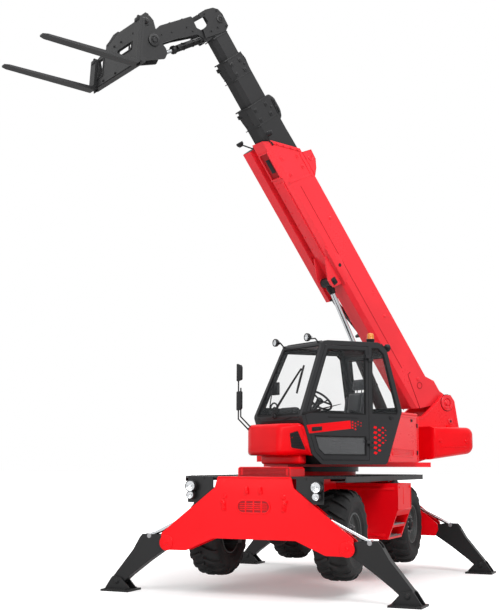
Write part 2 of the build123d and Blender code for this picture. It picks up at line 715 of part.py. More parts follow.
def cab_fittings():
    """Work lamps and beacon on the roof, and the mirror on its arm."""
    left = CAB_WIDTH - 60
    front = work_lamp((715, 225, 3270), (885, 270, 3350), 1)
    second = work_lamp((700, left, 3270), (885, left - 40, 3360), 1)
    rear = work_lamp((-400, left - 60, 3290), (-560, left - 60, 3310), -1)
    beacon = disc("z", BEACON, 60, 3330, 3392) + disc("z", BEACON, 50, 3391, 3520)
    foot = Vector(1220, 90, 2120)
    elbow = Vector(MIRROR_X, 90, 2270)
    glass = box((MIRROR_X - 22, MIRROR_X + 22), (60, 170), (2380, 3050))
    mirror_arm = bar(foot, elbow, MIRROR_ARM) + bar(elbow, (MIRROR_X, 90, 2960), MIRROR_ARM)
    pieces = (front, second, rear, beacon, mirror_arm + glass)
    return [piece - cab_form(0) - nose() for piece in pieces]


# ---------------------------------------------------------------- boom
def section_size(index):
    """Half width, back and front faces of telescope section 1 (outer) to 4."""
    return SECTIONS[index - 1]


def boom_tube(index, points):
    """A hollow telescope section: points are its side view, the open end is the first edge."""
    half, back, front = section_size(index)
    tube = prism("y", -half, half, points)
    chamfer = BOOM_CHAMFER
    for side in (-1, 1):
        tube -= prism(
            "x",
            -500,
            9000,
            [
                (side * (half + 1), front + chamfer),
                (side * (half + 1), front - 20),
                (side * (half - chamfer), front - 20),
                (side * (half - chamfer), front),
            ],
        )
    return tube


def hollow(index, start, end):
    """The space inside a section."""
    half, back, front = section_size(index)
    inside = box(
        (start, end), (-half + BOOM_WALL, half - BOOM_WALL), (front + BOOM_WALL, back - BOOM_WALL)
    )
    chamfer = BOOM_CHAMFER
    for side in (-1, 1):
        inner = half - BOOM_WALL
        floor = front + BOOM_WALL
        inside -= prism(
            "x",
            start - 1,
            end + 1,
            [
                (side * (inner + 1), floor + chamfer),
                (side * (inner + 1), floor - 1),
                (side * (inner - chamfer), floor - 1),
                (side * (inner - chamfer), floor),
            ],
        )
    return inside


def boom_outer():
    """Red outer section with its foot round the hinge pin, collar, and lift ram bracket."""
    half, back, front = section_size(1)
    tube = boom_tube(
        1,
        [
            (BOOM_END_BACK, back),
            (BOOM_END_FRONT, front),
            (BOOM_TAIL, front),
            (220, -455),
            (60, -130),
            (-60, -110),
            (-130, 0),
            (-60, 90),
            (60, 120),
            (200, 50),
            (400, 50),
            (560, back),
        ],
    )
    tube -= hollow(1, 560, BOOM_END_FRONT + 50)
    collar = [(4300, back - 60), (4270, back), (4360, 35), (4480, 110), (4640, 120), (4700, back - 60)]
    tube += prism("y", -half - 8, half + 8, collar) - hollow(1, 560, BOOM_END_FRONT)
    hub = -BOOM_CENTRE_Y + EAR_OUTER_Y - EAR_PLATE - EAR_GAP
    tube += disc("y", (0, 0), 130, -hub, hub)
    tube -= disc("y", (0, 0), HINGE_PIN_RADIUS + RUN_GAP, -hub - 1, hub + 1)
    for side in (-1, 1):
        lug = [
            (3220, front + 1),
            (LIFT_EYE[0] + 70, LIFT_EYE[1] - 85),
            (LIFT_EYE[0] - 80, LIFT_EYE[1] - 60),
            (LIFT_EYE[0] - 110, front + 1),
        ]
        y = side * 130
        tube += prism("y", y - 12, y + 12, lug, 20)
        tube += disc("y", LIFT_EYE, 78, y - 20, y + 20)
    return tube + disc("y", LIFT_EYE, LIFT_PIN_RADIUS, -130, 130)


def hose_tray():
    """Tray along the boom's far side that carries the hoses."""
    half, back, front = section_size(1)
    tray = box((2700, 5080), (-half - 200, -half - 14), (front - 40, front + 130))
    tray += box((2405, 2701), (-half - 200, -half - 110), (front - 40, front + 130))
    for x in (2900, 3700, 4500, 5000):
        tray += box((x - 40, x + 40), (-half - 20, -half), (front + 60, front + 120))
    return tray


def wear_pads(index, tail):
    """Sliding pads round a section's tail, a running gap short of the section outside it."""
    half, back, front = section_size(index)
    outer_half, outer_back, outer_front = section_size(index - 1)
    slack = BOOM_WALL + RUN_GAP
    span = (tail, tail + 160)
    middle = (half - BOOM_CHAMFER) / 2
    pads = Part()
    for side in (-1, 1):
        pads += box(span, (side * middle - 20, side * middle + 20), (back - 1, outer_back - slack))
        pads += box(span, (side * middle - 20, side * middle + 20), (outer_front + slack, front + 1))
        flank = sorted((side * (half - 1), side * (outer_half - slack)))
        pads += box(span, flank, (back - 160, back - 60))
    return pads


def section(index, tail, end):
    """One dark inner section, with the collar at its open end."""
    half, back, front = section_size(index)
    tube = boom_tube(index, [(end, back), (end, front), (tail, front), (tail, back)])
    tube -= hollow(index, tail - 1, end + 1 if index < 4 else end - 100)
    tube += wear_pads(index, tail)
    if index < 4:
        rise = 45
        collar = [
            (end - 400, back - 5),
            (end - 300, back + rise),
            (end - 120, back + rise + 25),
            (end - 10, back + rise),
            (end - 10, back - 5),
        ]
        tube += prism("y", -half * 0.55, half * 0.55, collar)
        lug = box((end - 120, end - 60), (-half - 40, -half + 1), (front + 30, front + 90))
        tube += lug
    return tube


def boom_head():
    """Innermost section with its head plates and the gooseneck that carries the carriage."""
    half, back, front = section_size(4)
    tube = section(4, 2100, 6900)
    crown = [(6800, back - 20), (6850, back + 65), (7040, back + 75), (7130, back + 45), (7185, back - 30)]
    root = [(6985, front - 90), (6855, front - 125)]
    core = crown + [(HEAD_END - 12, -205), (6992, -225), (6985, front - 30), (6880, front - 30), (6850, front + 20)]
    cheek = crown + [(HEAD_END, front + 120), (HEAD_END - 5, front - 35), (7140, front - 25), (7132, front + 54)]
    cheek += [(7040, front + 60), (6995, front - 10)] + root
    neck = [
        (6830, front + 60),
        (6980, front + 60),
        (6990, front - 110),
        (7045, front - 158),
        (7225, front - 140),
        (7320, TILT_PIVOT[1] + 250),
        (TILT_PIVOT[0] + 85, TILT_PIVOT[1] - 20),
        (TILT_PIVOT[0], TILT_PIVOT[1] - 80),
        (TILT_PIVOT[0] - 70, TILT_PIVOT[1] + 20),
        (7050, -1000),
        (6960, -640),
        (TILT_ANCHOR[0] + 25, TILT_ANCHOR[1] - 65),
        (TILT_ANCHOR[0] - 65, TILT_ANCHOR[1] - 35),
        (TILT_ANCHOR[0] - 65, TILT_ANCHOR[1] + 45),
    ]
    tube += prism("y", half, half + 14, cheek, 15)
    far = prism("y", -half - 14, -half, cheek, 15)
    tube += far - box((6992, 7140), (-half - 15, 0), (front - 30, -225))
    tube += prism("y", -half - 1, half + 1, core, 15)
    for side in (-1, 1):
        y = side * 85
        tube += prism("y", y - 12, y + 12, neck, 20)
    web = [(7150, front - 175), (7212, front - 165), (7300, -1120), (7250, -1150)]
    tube += prism("y", -74, 74, web)
    tube += disc("y", TILT_ANCHOR, RAM_PIN_RADIUS, -74, 74)
    return tube + disc("y", TILT_PIVOT, TILT_PIN_RADIUS, -155, 155)


# ---------------------------------------------------------------- fork carriage (frame at its pivot)
CARRIAGE_FACE = 490.0
CARRIAGE_PLATE = 30.0
CARRIAGE_BOTTOM = -640.0
CARRIAGE_TOPS = (0.0, -215.0)  # the plate's top edge on its left half, and at its right end
BLADE_BOTTOM = -670.0
HOOK_BAR = (295.0, 100.0)
HOOK_SPACING = 800.0


def carriage():
    """Coupling plates round the boom head, and the hooked plate that carries the forks."""
    rear = CARRIAGE_FACE - CARRIAGE_PLATE
    high, low = CARRIAGE_TOPS
    edge = CARRIAGE_HALF_WIDTH
    plate = [(edge, CARRIAGE_BOTTOM), (edge, high), (10, high + 12), (-130, high - 45), (-edge, low)]
    frame = prism("x", rear, CARRIAGE_FACE, plate + [(-edge, CARRIAGE_BOTTOM)], 25)
    frame -= box((rear - 1, CARRIAGE_FACE + 1), (40, 430), (-364, -274))
    frame -= box((rear - 1, CARRIAGE_FACE + 1), (-540, -410), (-488, -237))
    frame += box((rear - 60, rear + 1), (10 - edge, edge - 10), (CARRIAGE_BOTTOM + 15, CARRIAGE_BOTTOM + 85))
    for side in (-1, 1):
        y = side * 125
        cheek = [
            (-60, 60),
            (30, 290),
            (100, 345),
            (180, 310),
            (330, 150),
            (345, 90),
            (300, 50),
            (235, 50),
            (190, -60),
            (230, -280),
            (rear + 2, -350),
            (rear + 2, -600),
            (120, -330),
            (-200, -215),
            (-230, -130),
            (-200, -60),
        ]
        frame += prism("y", y - 15, y + 15, cheek, 15)
        frame += disc("y", (0, 0), 80, y - 20, y + 20)
        frame -= disc("y", (0, 0), TILT_PIN_RADIUS + RUN_GAP, y - 21, y + 21)
        y = side * HOOK_SPACING / 2
        hook = [
            (rear + 1, -200),
            (rear + 1, -20),
            (425, 40),
            (365, 165),
            (310, 222),
            (262, 215),
            (238, 150),
            (252, 62),
            (330, 0),
            (400, -200),
        ]
        frame += prism("y", y - 18, y + 18, hook, 12)
    return frame + disc("y", HOOK_BAR, 36, -HOOK_SPACING / 2 - 40, HOOK_SPACING / 2 + 40)


def fork(side):
    """One fork: upright shank on the carriage's plate, blade tapering to its tip."""
    y = side * FORK_SPACING / 2
    face = CARRIAGE_FACE
    top = CARRIAGE_TOPS[0] if side > 0 else CARRIAGE_TOPS[1] + 10
    profile = [
        (face, top),
        (face + FORK_THICKNESS, top),
        (face + FORK_THICKNESS, BLADE_BOTTOM + FORK_THICKNESS + 25),
        (face + FORK_THICKNESS + 25, BLADE_BOTTOM + FORK_THICKNESS),
        (face + FORK_LENGTH, BLADE_BOTTOM + FORK_TIP),
        (face + FORK_LENGTH, BLADE_BOTTOM),
        (face + 25, BLADE_BOTTOM),
        (face, BLADE_BOTTOM + 25),
    ]
    shape = prism("y", y - FORK_WIDTH / 2, y + FORK_WIDTH / 2, profile)
    tip = [
        (face + FORK_LENGTH + 1, y + FORK_WIDTH / 2 + 1),
        (face + FORK_LENGTH - 70, y + FORK_WIDTH / 2 + 1),
        (face + FORK_LENGTH + 1, y + 40),
    ]
    shape -= prism("z", BLADE_BOTTOM - 1, BLADE_BOTTOM + 60, tip)
    other = [(x, 2 * y - across_y) for x, across_y in tip]
    return shape - prism("z", BLADE_BOTTOM - 1, BLADE_BOTTOM + 60, other)


# ---------------------------------------------------------------- write every node
def build_chassis():
    save("chassis_frame", chassis_frame())
    save("stabiliser_beams", Compound([stabiliser_beam(1), stabiliser_beam(-1)]))
    save("deck", deck())
    save("side_tanks", Compound([side_tank(1), side_tank(-1)]))
    save("headlamps", headlamps())
    save("axles", Compound([axle(WHEEL_BASE / 2), axle(-WHEEL_BASE / 2)]))
    for end_name, end in (("front", 1), ("rear", -1)):
        for side_name, side in (("left", 1), ("right", -1)):
            name = f"{end_name}_{side_name}"
            x = end * WHEEL_BASE / 2
            save(f"knuckle_{name}", knuckle(x, side))
            save(f"tyre_{name}", tyre(x, side))
            save(f"rim_{name}", rim(x, side))
            save(f"leg_{name}", corner(leg(), end, side))
            save(f"foot_{name}", corner(foot(), end, side))
            barrel = across(
                ram_barrel(
                    RAM_ANCHOR, RAM_EYE, RAM_BARREL, RAM_BARREL_RADIUS, RAM_ROD_RADIUS, 48, 50, RAM_PIN_RADIUS
                )
            )
            save(f"leg_ram_barrel_{name}", corner(barrel, end, side))
            bore = RAM_BARREL_RADIUS * BARREL_BORE
            rod = across(ram_rod(RAM_EYE, RAM_ANCHOR, RAM_PISTON, bore, RAM_ROD_RADIUS, 30, 46, 16))
            save(f"leg_ram_rod_{name}", corner(rod, end, side))


def build_turret():
    save("turret_frame", turret_frame(), TURRET)
    save("counterweight", counterweight(), TURRET)
    save("side_cover", side_cover(), TURRET)
    save("engine_hood", engine_hood(), TURRET)
    save("engine", engine(), TURRET)
    save("nose", Compound([*nose().solids(), *nose_beam().solids()]), TURRET)
    for name, shape in cab().items():
        save(name, shape, TURRET)
    save("seat", seat(), TURRET)
    dash, side_box, column = cab_console()
    save("cab_console", dash + column + steering_wheel() + side_box, TURRET)
    save("cab_fittings", Compound([part for piece in cab_fittings() for part in piece.solids()]), TURRET)


def build_boom():
    save("boom_outer", boom_outer(), BOOM)
    save("hose_tray", hose_tray(), BOOM)
    save("boom_section_2", section(2, 900, 5690), BOOM)
    save("boom_section_3", section(3, 1500, 6440), BOOM)
    save("boom_head", boom_head(), BOOM)
    save("carriage", carriage(), CARRIAGE)
    save("forks", Compound([fork(1), fork(-1)]), CARRIAGE)
    barrel = ram_barrel(
        TILT_ANCHOR, TILT_EYE, TILT_BARREL, TILT_BARREL_RADIUS, TILT_ROD_RADIUS, 52, 70, RAM_PIN_RADIUS
    )
    save("tilt_barrel", barrel, BOOM)
    bore = TILT_BARREL_RADIUS * BARREL_BORE
    save("tilt_rod", ram_rod(TILT_EYE, TILT_ANCHOR, TILT_PISTON, bore, TILT_ROD_RADIUS, 40, 60, 22), BOOM)
    anchor = boom_point(*LIFT_ANCHOR)
    barrel = ram_barrel(
        anchor, LIFT_EYE, LIFT_BARREL, LIFT_BARREL_RADIUS, LIFT_ROD_RADIUS, 80, 150, LIFT_PIN_RADIUS
    )
    save("lift_barrel", barrel, BOOM)
    bore = LIFT_BARREL_RADIUS * BARREL_BORE
    rod = ram_rod(LIFT_EYE, anchor, LIFT_PISTON, bore, LIFT_ROD_RADIUS, 70, 200, LIFT_PIN_RADIUS)
    save("lift_rod", rod, BOOM)


build_chassis()
build_turret()
build_boom()
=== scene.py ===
# %% [markdown]
# # A slewing telehandler on its four stabilisers
# The machine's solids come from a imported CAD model, and that model is the frame for everything here.
# Each step first says what a piece is on the real machine, then how it could be made, and why one way
# was picked. All sizes are in metres, in the CAD model's own frame: +X ahead, +Y left, +Z up.

# %% Load the frame
import json
from math import cos, pi, radians, sin

import bmesh
import bpy
from mathutils import Matrix, Vector


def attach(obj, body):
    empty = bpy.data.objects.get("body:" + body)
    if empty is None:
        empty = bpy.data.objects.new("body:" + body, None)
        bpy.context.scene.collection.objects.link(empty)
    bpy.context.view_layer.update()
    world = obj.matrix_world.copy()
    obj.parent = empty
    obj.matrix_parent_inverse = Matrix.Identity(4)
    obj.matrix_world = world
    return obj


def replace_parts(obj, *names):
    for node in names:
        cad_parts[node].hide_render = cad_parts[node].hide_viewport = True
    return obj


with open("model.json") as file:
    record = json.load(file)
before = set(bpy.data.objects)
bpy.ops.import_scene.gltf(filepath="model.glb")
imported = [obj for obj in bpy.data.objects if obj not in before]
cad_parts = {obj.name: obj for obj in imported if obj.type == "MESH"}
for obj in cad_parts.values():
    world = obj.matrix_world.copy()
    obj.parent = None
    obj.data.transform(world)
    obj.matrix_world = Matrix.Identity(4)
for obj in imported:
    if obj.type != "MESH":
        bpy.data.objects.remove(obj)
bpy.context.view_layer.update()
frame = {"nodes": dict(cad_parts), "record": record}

# %% [markdown]
# The upper structure is parked turned 32 degrees to the right, the boom is raised 53 degrees from its
# hinge, and the forks tilt about a pin at the boom's head. Three matrices say so, and a piece is drawn
# in the plainest of them: a lamp on the cab in the turret's frame, a bolt on the boom in the boom's.

# %% The machine's own frames
WHEEL_X, WHEEL_Y, WHEEL_Z = 1.433, 0.872, 0.760
CORNERS = {
    "front_left": (1, 1),
    "front_right": (1, -1),
    "rear_left": (-1, 1),
    "rear_right": (-1, -1),
}
CHASSIS = Matrix.Identity(4)
TURRET = Matrix.Rotation(radians(-32), 4, "Z")
HINGE = Vector((-2.720, -0.270, 2.647))
BOOM = TURRET @ Matrix.Translation(HINGE) @ Matrix.Rotation(radians(-53), 4, "Y")
TILT_PIN = Vector((7.180, 0.0, -1.400))
CARRIAGE = BOOM @ Matrix.Translation(TILT_PIN) @ Matrix.Rotation(radians(53 - 3.3), 4, "Y")
print("boom hinge at", TURRET @ HINGE)


# %% [markdown]
# ## Camera
# The machine is seen from ahead and a little to its left, from about a standing person's eye level, and
# the camera looks up by eight degrees. A camera could be aimed with a constraint, but three direction
# vectors written into its matrix say the same with nothing left to evaluate.

# %% Camera
def aim_camera(place, yaw, pitch, roll, lens):
    """A camera at a place, looking along a compass yaw and a pitch, turned about its own axis."""
    ahead = Vector((cos(pitch) * cos(yaw), cos(pitch) * sin(yaw), sin(pitch)))
    right = ahead.cross(Vector((0, 0, 1))).normalized()
    up = right.cross(ahead)
    right, up = cos(roll) * right + sin(roll) * up, cos(roll) * up - sin(roll) * right
    data = bpy.data.cameras.new("camera")
    data.lens = lens
    data.sensor_width = 36
    data.clip_end = 500
    camera = bpy.data.objects.new("camera", data)
    bpy.context.scene.collection.objects.link(camera)
    camera.matrix_world = Matrix.Translation(place) @ Matrix((right, up, -ahead)).transposed().to_4x4()
    return camera


bpy.context.scene.camera = aim_camera(
    Vector((14.678, 5.312, 1.660)), radians(203.40), radians(8.457), radians(0.235), 62.09
)
bpy.context.scene.view_settings.view_transform = "Standard"
print("camera at", bpy.context.scene.camera.matrix_world.translation)

# %% [markdown]
# ## Shader maths in plain Python
# A material that varies over a surface is a net of nodes. Wiring it by hand hides the idea, so one small
# class wraps a node's output and turns +, -, * and / into Math nodes, and a second class keeps a
# material's shader and its few helpers.


# %% Values and finishes
class Value:
    """A number that varies over a surface."""

    def __init__(self, finish, socket):
        self.finish = finish
        self.socket = socket

    def maths(self, operation, *numbers):
        settings = {"operation": operation}
        return self.finish.node("ShaderNodeMath", settings, dict(enumerate(numbers)))

    def __add__(self, other):
        return self.maths("ADD", self, other)

    __radd__ = __add__

    def __sub__(self, other):
        return self.maths("SUBTRACT", self, other)

    def __rsub__(self, other):
        return self.maths("SUBTRACT", other, self)

    def __mul__(self, other):
        return self.maths("MULTIPLY", self, other)

    __rmul__ = __mul__

    def __gt__(self, other):
        return self.maths("GREATER_THAN", self, other)

    def between(self, low, high):
        """0 below low, 1 above high, smooth in between."""
        settings = {"interpolation_type": "SMOOTHSTEP"}
        sockets = {"Value": self, "From Min": low, "From Max": high}
        return self.finish.node("ShaderNodeMapRange", settings, sockets)


class Finish:
    """One material: a Principled shader, and helpers for what varies over the surface."""

    def __init__(self, name, **sockets):
        self.material = bpy.data.materials.new(name)
        self.material.use_nodes = True
        self.tree = self.material.node_tree
        self.shader = self.tree.nodes["Principled BSDF"]
        for socket, value in sockets.items():
            self.shader.inputs[socket.replace("_", " ")].default_value = value
        self.place = self.node("ShaderNodeTexCoord", output="Object")

    def node(self, kind, settings=None, inputs=None, output=0):
        """Any node: its settings first, then the values or links of its sockets."""
        made = self.tree.nodes.new(kind)
        for key, value in (settings or {}).items():
            setattr(made, key, value)
        for key, value in (inputs or {}).items():
            if isinstance(value, Value):
                self.tree.links.new(value.socket, made.inputs[key])
            else:
                made.inputs[key].default_value = value
        return Value(self, made.outputs[output])

    def feed(self, socket, value):
        self.tree.links.new(value.socket, self.shader.inputs[socket])

    def noise(self, scale, detail=3.0, stretch=(1, 1, 1)):
        """Soft clouds from 0 to 1; stretch makes them longer one way."""
        place = self.node("ShaderNodeMapping", None, {"Vector": self.place, "Scale": stretch})
        return self.node("ShaderNodeTexNoise", None, {"Vector": place, "Scale": scale, "Detail": detail})

    def along(self, axis):
        """The place on the surface along one axis: 0, 1 or 2."""
        return self.node("ShaderNodeSeparateXYZ", None, {0: self.place}, output=axis)

    def facing_up(self):
        normal = self.node("ShaderNodeTexCoord", output="Normal")
        return self.node("ShaderNodeSeparateXYZ", None, {0: normal}, output=2)

    def mix(self, factor, first, second):
        """A colour between two, by a factor from 0 to 1."""
        return self.node(
            "ShaderNodeMix",
            {"data_type": "RGBA"},
            {"Factor": factor, 6: first, 7: second},
            output=2,
        )

    def bump(self, height, depth, strength=1.0):
        sockets = {"Height": height, "Distance": depth, "Strength": strength}
        self.feed("Normal", self.node("ShaderNodeBump", None, sockets))


def shade(red, green, blue):
    """A colour given from 0 to 255, as the linear colour that a shader wants."""
    parts = [part / 255 for part in (red, green, blue)]
    return (*[p / 12.92 if p <= 0.04045 else ((p + 0.055) / 1.055) ** 2.4 for p in parts], 1)


print("red paint as a shader sees it", shade(226, 14, 26))

# %% [markdown]
# ## Paint
# A telehandler's steelwork is sprayed two-pack enamel: a hard gloss with the faint ripple of sprayed
# paint, slightly duller where hands and boots reach, and dusty on what faces the sky. The dust could be
# an image, but clouds of noise held back by the direction that a face looks are enough, and they need no
# unwrapping.


# %% Painted steel
def painted(name, colour, roughness, dust=0.25, coat=0.0, gloss=0.25):
    """Sprayed enamel with ripple, dull patches, and dust on the faces that look up."""
    paint = Finish(name, Coat_Weight=coat, Coat_Roughness=0.06, Specular_IOR_Level=gloss)
    patches = paint.noise(1.7, 6.0)
    grain = paint.noise(38.0, 4.0)
    settled = paint.facing_up().between(0.6, 1.0) * patches.between(0.35, 0.75) * dust
    worn = (patches - 0.5) * 0.25 + (grain - 0.5) * 0.12
    darker = tuple(part * 0.90 for part in colour[:3]) + (1,)
    tone = paint.mix(patches.between(0.3, 0.7), colour, darker)
    paint.feed("Base Color", paint.mix(settled, tone, shade(150, 142, 134)))
    paint.feed("Roughness", worn * 0.5 + roughness + settled * 0.5)
    paint.bump(paint.noise(90.0, 2.0), 0.0004, 0.15)
    return paint


red_paint = painted("red_enamel", shade(234, 3, 18), 0.34, 0.04, 0.04, 0.14)
# a paler red for the boom, its hose tray and the ears: painted sheen, the white studio's reflection put into
# the paint's colour
pale_sheen_red = painted("pale_painted_sheen_enamel", shade(229, 44, 54), 0.30, 0.03, 0.12, 0.25)
# a darker red: painted shade behind the beam grille's slots and in the boom's underside opening; the front
# box's ribs and the boom's weld lines take it too
dark_red = painted("shaded_red_enamel", shade(150, 4, 14), 0.5, 0.04)
dark_paint = painted("charcoal_enamel", shade(24, 24, 25), 0.45, 0.05)
boom_grey = painted("boom_grey_enamel", shade(37, 37, 38), 0.42, 0.05)
cab_grey = painted("cab_grey_enamel", shade(38, 38, 40), 0.40, 0.04)
rim_grey = painted("rim_grey_enamel", shade(78, 80, 80), 0.42, 0.06)
# a pinker red for the turret frame, side cover and cover seams: partly painted sheen, some of the covers'
# glossy highlight put into the colour
pink_sheen_red = painted("turntable_painted_sheen_enamel", shade(232, 24, 36), 0.30, 0.03, 0.10, 0.22)
above_ring = pink_sheen_red.along(2).between(1.6200, 1.6215)  # the slewing ring below the slab is charcoal
pink_sheen_red.feed("Base Color", pink_sheen_red.mix(above_ring, shade(26, 26, 27), shade(232, 24, 36)))
print("paints", len(bpy.data.materials))

# %% [markdown]
# ## Rubber, glass, chrome, cloth and plastic
# Rubber scatters light with hardly any gloss and greys where it is scuffed. The cab's panes are clear
# with a slight grey tint, so most of what shows in them is what stands behind; low down they are painted a
# dense grey, painted shade for the dim cab behind them. A cylinder's rod is hard chrome, ground along its
# length. The seat is woven cloth, and the trim is grained plastic.

# %% Other finishes
rubber = Finish("tyre_rubber", Specular_IOR_Level=0.2)
scuff = rubber.noise(4.0, 6.0)
rubber.feed("Base Color", rubber.mix(scuff.between(0.35, 0.75), shade(30, 30, 31), shade(44, 44, 44)))
rubber.feed("Roughness", rubber.noise(60.0, 4.0) * 0.25 + 0.62)
rubber.bump(rubber.noise(120.0, 5.0), 0.0015, 0.5)

pane = Finish("cab_pane", Roughness=0.03, Specular_IOR_Level=0.4)
inside_shade = pane.along(2).between(2.20, 2.10)  # painted shade: below 2.1 m the door's lower pane turns a dense grey for the dim cab seen through it
pane.feed("Base Color", pane.mix(inside_shade, shade(120, 126, 128), shade(88, 89, 91)))
pane.feed("Alpha", pane.noise(2.2, 5.0) * 0.04 + 0.02 + inside_shade * 0.65)

chrome = Finish("hard_chrome", Base_Color=shade(206, 209, 212), Metallic=1.0)
chrome.feed("Roughness", chrome.noise(300.0, 2.0) * 0.10 + 0.08)

steel = Finish("bare_steel", Metallic=0.9)
steel.feed("Base Color", steel.mix(steel.noise(25.0, 4.0), shade(118, 118, 120), shade(160, 160, 162)))
steel.feed("Roughness", steel.noise(80.0, 3.0) * 0.3 + 0.28)

plastic = Finish("grained_plastic", Specular_IOR_Level=0.25)
plastic.feed("Base Color", plastic.mix(plastic.noise(3.0), shade(22, 22, 24), shade(31, 31, 33)))
plastic.feed("Roughness", plastic.noise(90.0, 4.0) * 0.2 + 0.45)
plastic.bump(plastic.noise(700.0, 3.0), 0.0004, 0.6)

cloth = Finish("seat_cloth", Sheen_Weight=0.4, Sheen_Roughness=0.5)
across_threads = cloth.node("ShaderNodeTexWave", {"bands_direction": "X"},
    {"Vector": cloth.place, "Scale": 90.0})
down_threads = cloth.node("ShaderNodeTexWave", {"bands_direction": "Z"},
    {"Vector": cloth.place, "Scale": 90.0})
weave = across_threads * 0.5 + down_threads * 0.5
cloth.feed("Base Color", cloth.mix(weave, shade(34, 35, 38), shade(70, 71, 75)))
cloth.feed("Roughness", weave * 0.1 + 0.8)
cloth.bump(weave, 0.0012, 0.8)

iron = Finish("cast_iron", Metallic=0.3)
iron.feed("Base Color", iron.mix(iron.noise(12.0, 6.0), shade(70, 70, 72), shade(98, 96, 94)))
iron.feed("Roughness", iron.noise(30.0, 5.0) * 0.3 + 0.5)
iron.bump(iron.noise(180.0, 5.0), 0.0012, 0.7)

lens = Finish("lamp_lens", Roughness=0.06, IOR=1.5)
ribs = lens.node("ShaderNodeTexWave", {"bands_direction": "Y"}, {"Vector": lens.place, "Scale": 26.0})
lens.feed("Base Color", lens.mix(ribs, shade(190, 194, 196), shade(236, 238, 238)))
lens.bump(ribs, 0.002, 0.6)

clear_glass = Finish("lamp_glass", Roughness=0.04, IOR=1.5)
flutes = clear_glass.node("ShaderNodeTexWave", {"bands_direction": "Y"},
    {"Vector": clear_glass.place, "Scale": 40.0})
clear_glass.feed("Base Color", clear_glass.mix(flutes, shade(226, 230, 232), shade(250, 250, 250)))
clear_glass.feed("Alpha", flutes * 0.12 + 0.14)

amber = Finish("amber_lens", Roughness=0.12, Transmission_Weight=0.2)
amber_ribs = amber.node("ShaderNodeTexWave", {"bands_direction": "Z"}, {"Vector": amber.place, "Scale": 30.0})
amber.feed("Base Color", amber.mix(amber_ribs, shade(226, 120, 20), shade(244, 156, 40)))
amber.bump(amber_ribs, 0.002, 0.5)

seal = Finish("rubber_seal", Specular_IOR_Level=0.2)
seal.feed("Base Color", seal.mix(seal.noise(9.0), shade(14, 14, 15), shade(24, 24, 25)))
seal.feed("Roughness", seal.noise(120.0, 4.0) * 0.2 + 0.55)
seal.bump(seal.noise(400.0, 3.0), 0.0003, 0.5)

step_metal = Finish("galvanised_step", Metallic=0.5)
spangle = step_metal.node("ShaderNodeTexVoronoi", None, {"Vector": step_metal.place, "Scale": 60.0})
step_metal.feed("Base Color", step_metal.mix(spangle, shade(120, 122, 124), shade(158, 160, 162)))
step_metal.feed("Roughness", spangle * 0.3 + 0.4)

FINISHES = {
    "red_paint": red_paint,
    "dark_paint": dark_paint,
    "boom_grey": boom_grey,
    "cab_grey": cab_grey,
    "rim_grey": rim_grey,
    "tyre_rubber": rubber,
    "chrome_rod": chrome,
    "pane": pane,
    "plastic": plastic,
    "seat_cover": cloth,
    "engine_iron": iron,
    "lamp": lens,
}
# the boom, hose tray, side cover and turret frame take paler reds than red_paint: painted sheen
SHEEN_REDS = {"boom_outer": pale_sheen_red, "hose_tray": pale_sheen_red, "side_cover": pink_sheen_red,
    "turret_frame": pink_sheen_red}
for row in frame["record"]["subparts"]:
    mesh = frame["nodes"][row["node"]].data
    mesh.materials.clear()
    finish = SHEEN_REDS.get(row["node"], FINISHES.get(row["material_slot"], dark_paint))
    mesh.materials.append(finish.material)

# %% [markdown]
# ## Light and floor
# A product studio: a white floor that runs into a white background, a large soft lamp ahead and above, a
# weaker one from the side, and an even sky. The floor is white to the camera by its own glow, and still
# shows the machine's soft shadow because its diffuse part receives it. Near the machine the glow is
# turned down, which paints shade in a wide pool round the machine and deepens its shadow.


# %% Studio
def soft_lamp(name, place, target, size, watts):
    data = bpy.data.lights.new(name, "AREA")
    data.shape = "DISK"
    data.size = size
    data.energy = watts
    lamp = bpy.data.objects.new(name, data)
    bpy.context.scene.collection.objects.link(lamp)
    aim = (Vector(target) - Vector(place)).to_track_quat("-Z", "Y")
    lamp.matrix_world = Matrix.Translation(place) @ aim.to_matrix().to_4x4()
    return lamp


soft_lamp("key", (9, 9, 13), (0, 0, 3), 9, 1750)
soft_lamp("fill", (14, -5, 5), (0, 0, 3), 8, 620)
soft_lamp("top", (-1, 1, 15), (0, 0, 2), 9, 900)

world = bpy.data.worlds.new("studio")
bpy.context.scene.world = world
world.use_nodes = True
sky = world.node_tree.nodes
links = world.node_tree.links
seen = sky.new("ShaderNodeLightPath")
any_ray = sky.new("ShaderNodeMath")
any_ray.operation = "MAXIMUM"
glossy_ray = sky.new("ShaderNodeMath")
glossy_ray.operation = "MAXIMUM"
links.new(seen.outputs["Is Camera Ray"], any_ray.inputs[0])
links.new(seen.outputs["Is Transmission Ray"], any_ray.inputs[1])
links.new(any_ray.outputs[0], glossy_ray.inputs[0])
links.new(seen.outputs["Is Glossy Ray"], glossy_ray.inputs[1])
strength = sky.new("ShaderNodeMapRange")
strength.inputs["To Min"].default_value = 0.50
strength.inputs["To Max"].default_value = 1.0
links.new(glossy_ray.outputs[0], strength.inputs["Value"])
links.new(strength.outputs[0], sky["Background"].inputs["Strength"])
sky["Background"].inputs["Color"].default_value = (1, 1, 1, 1)

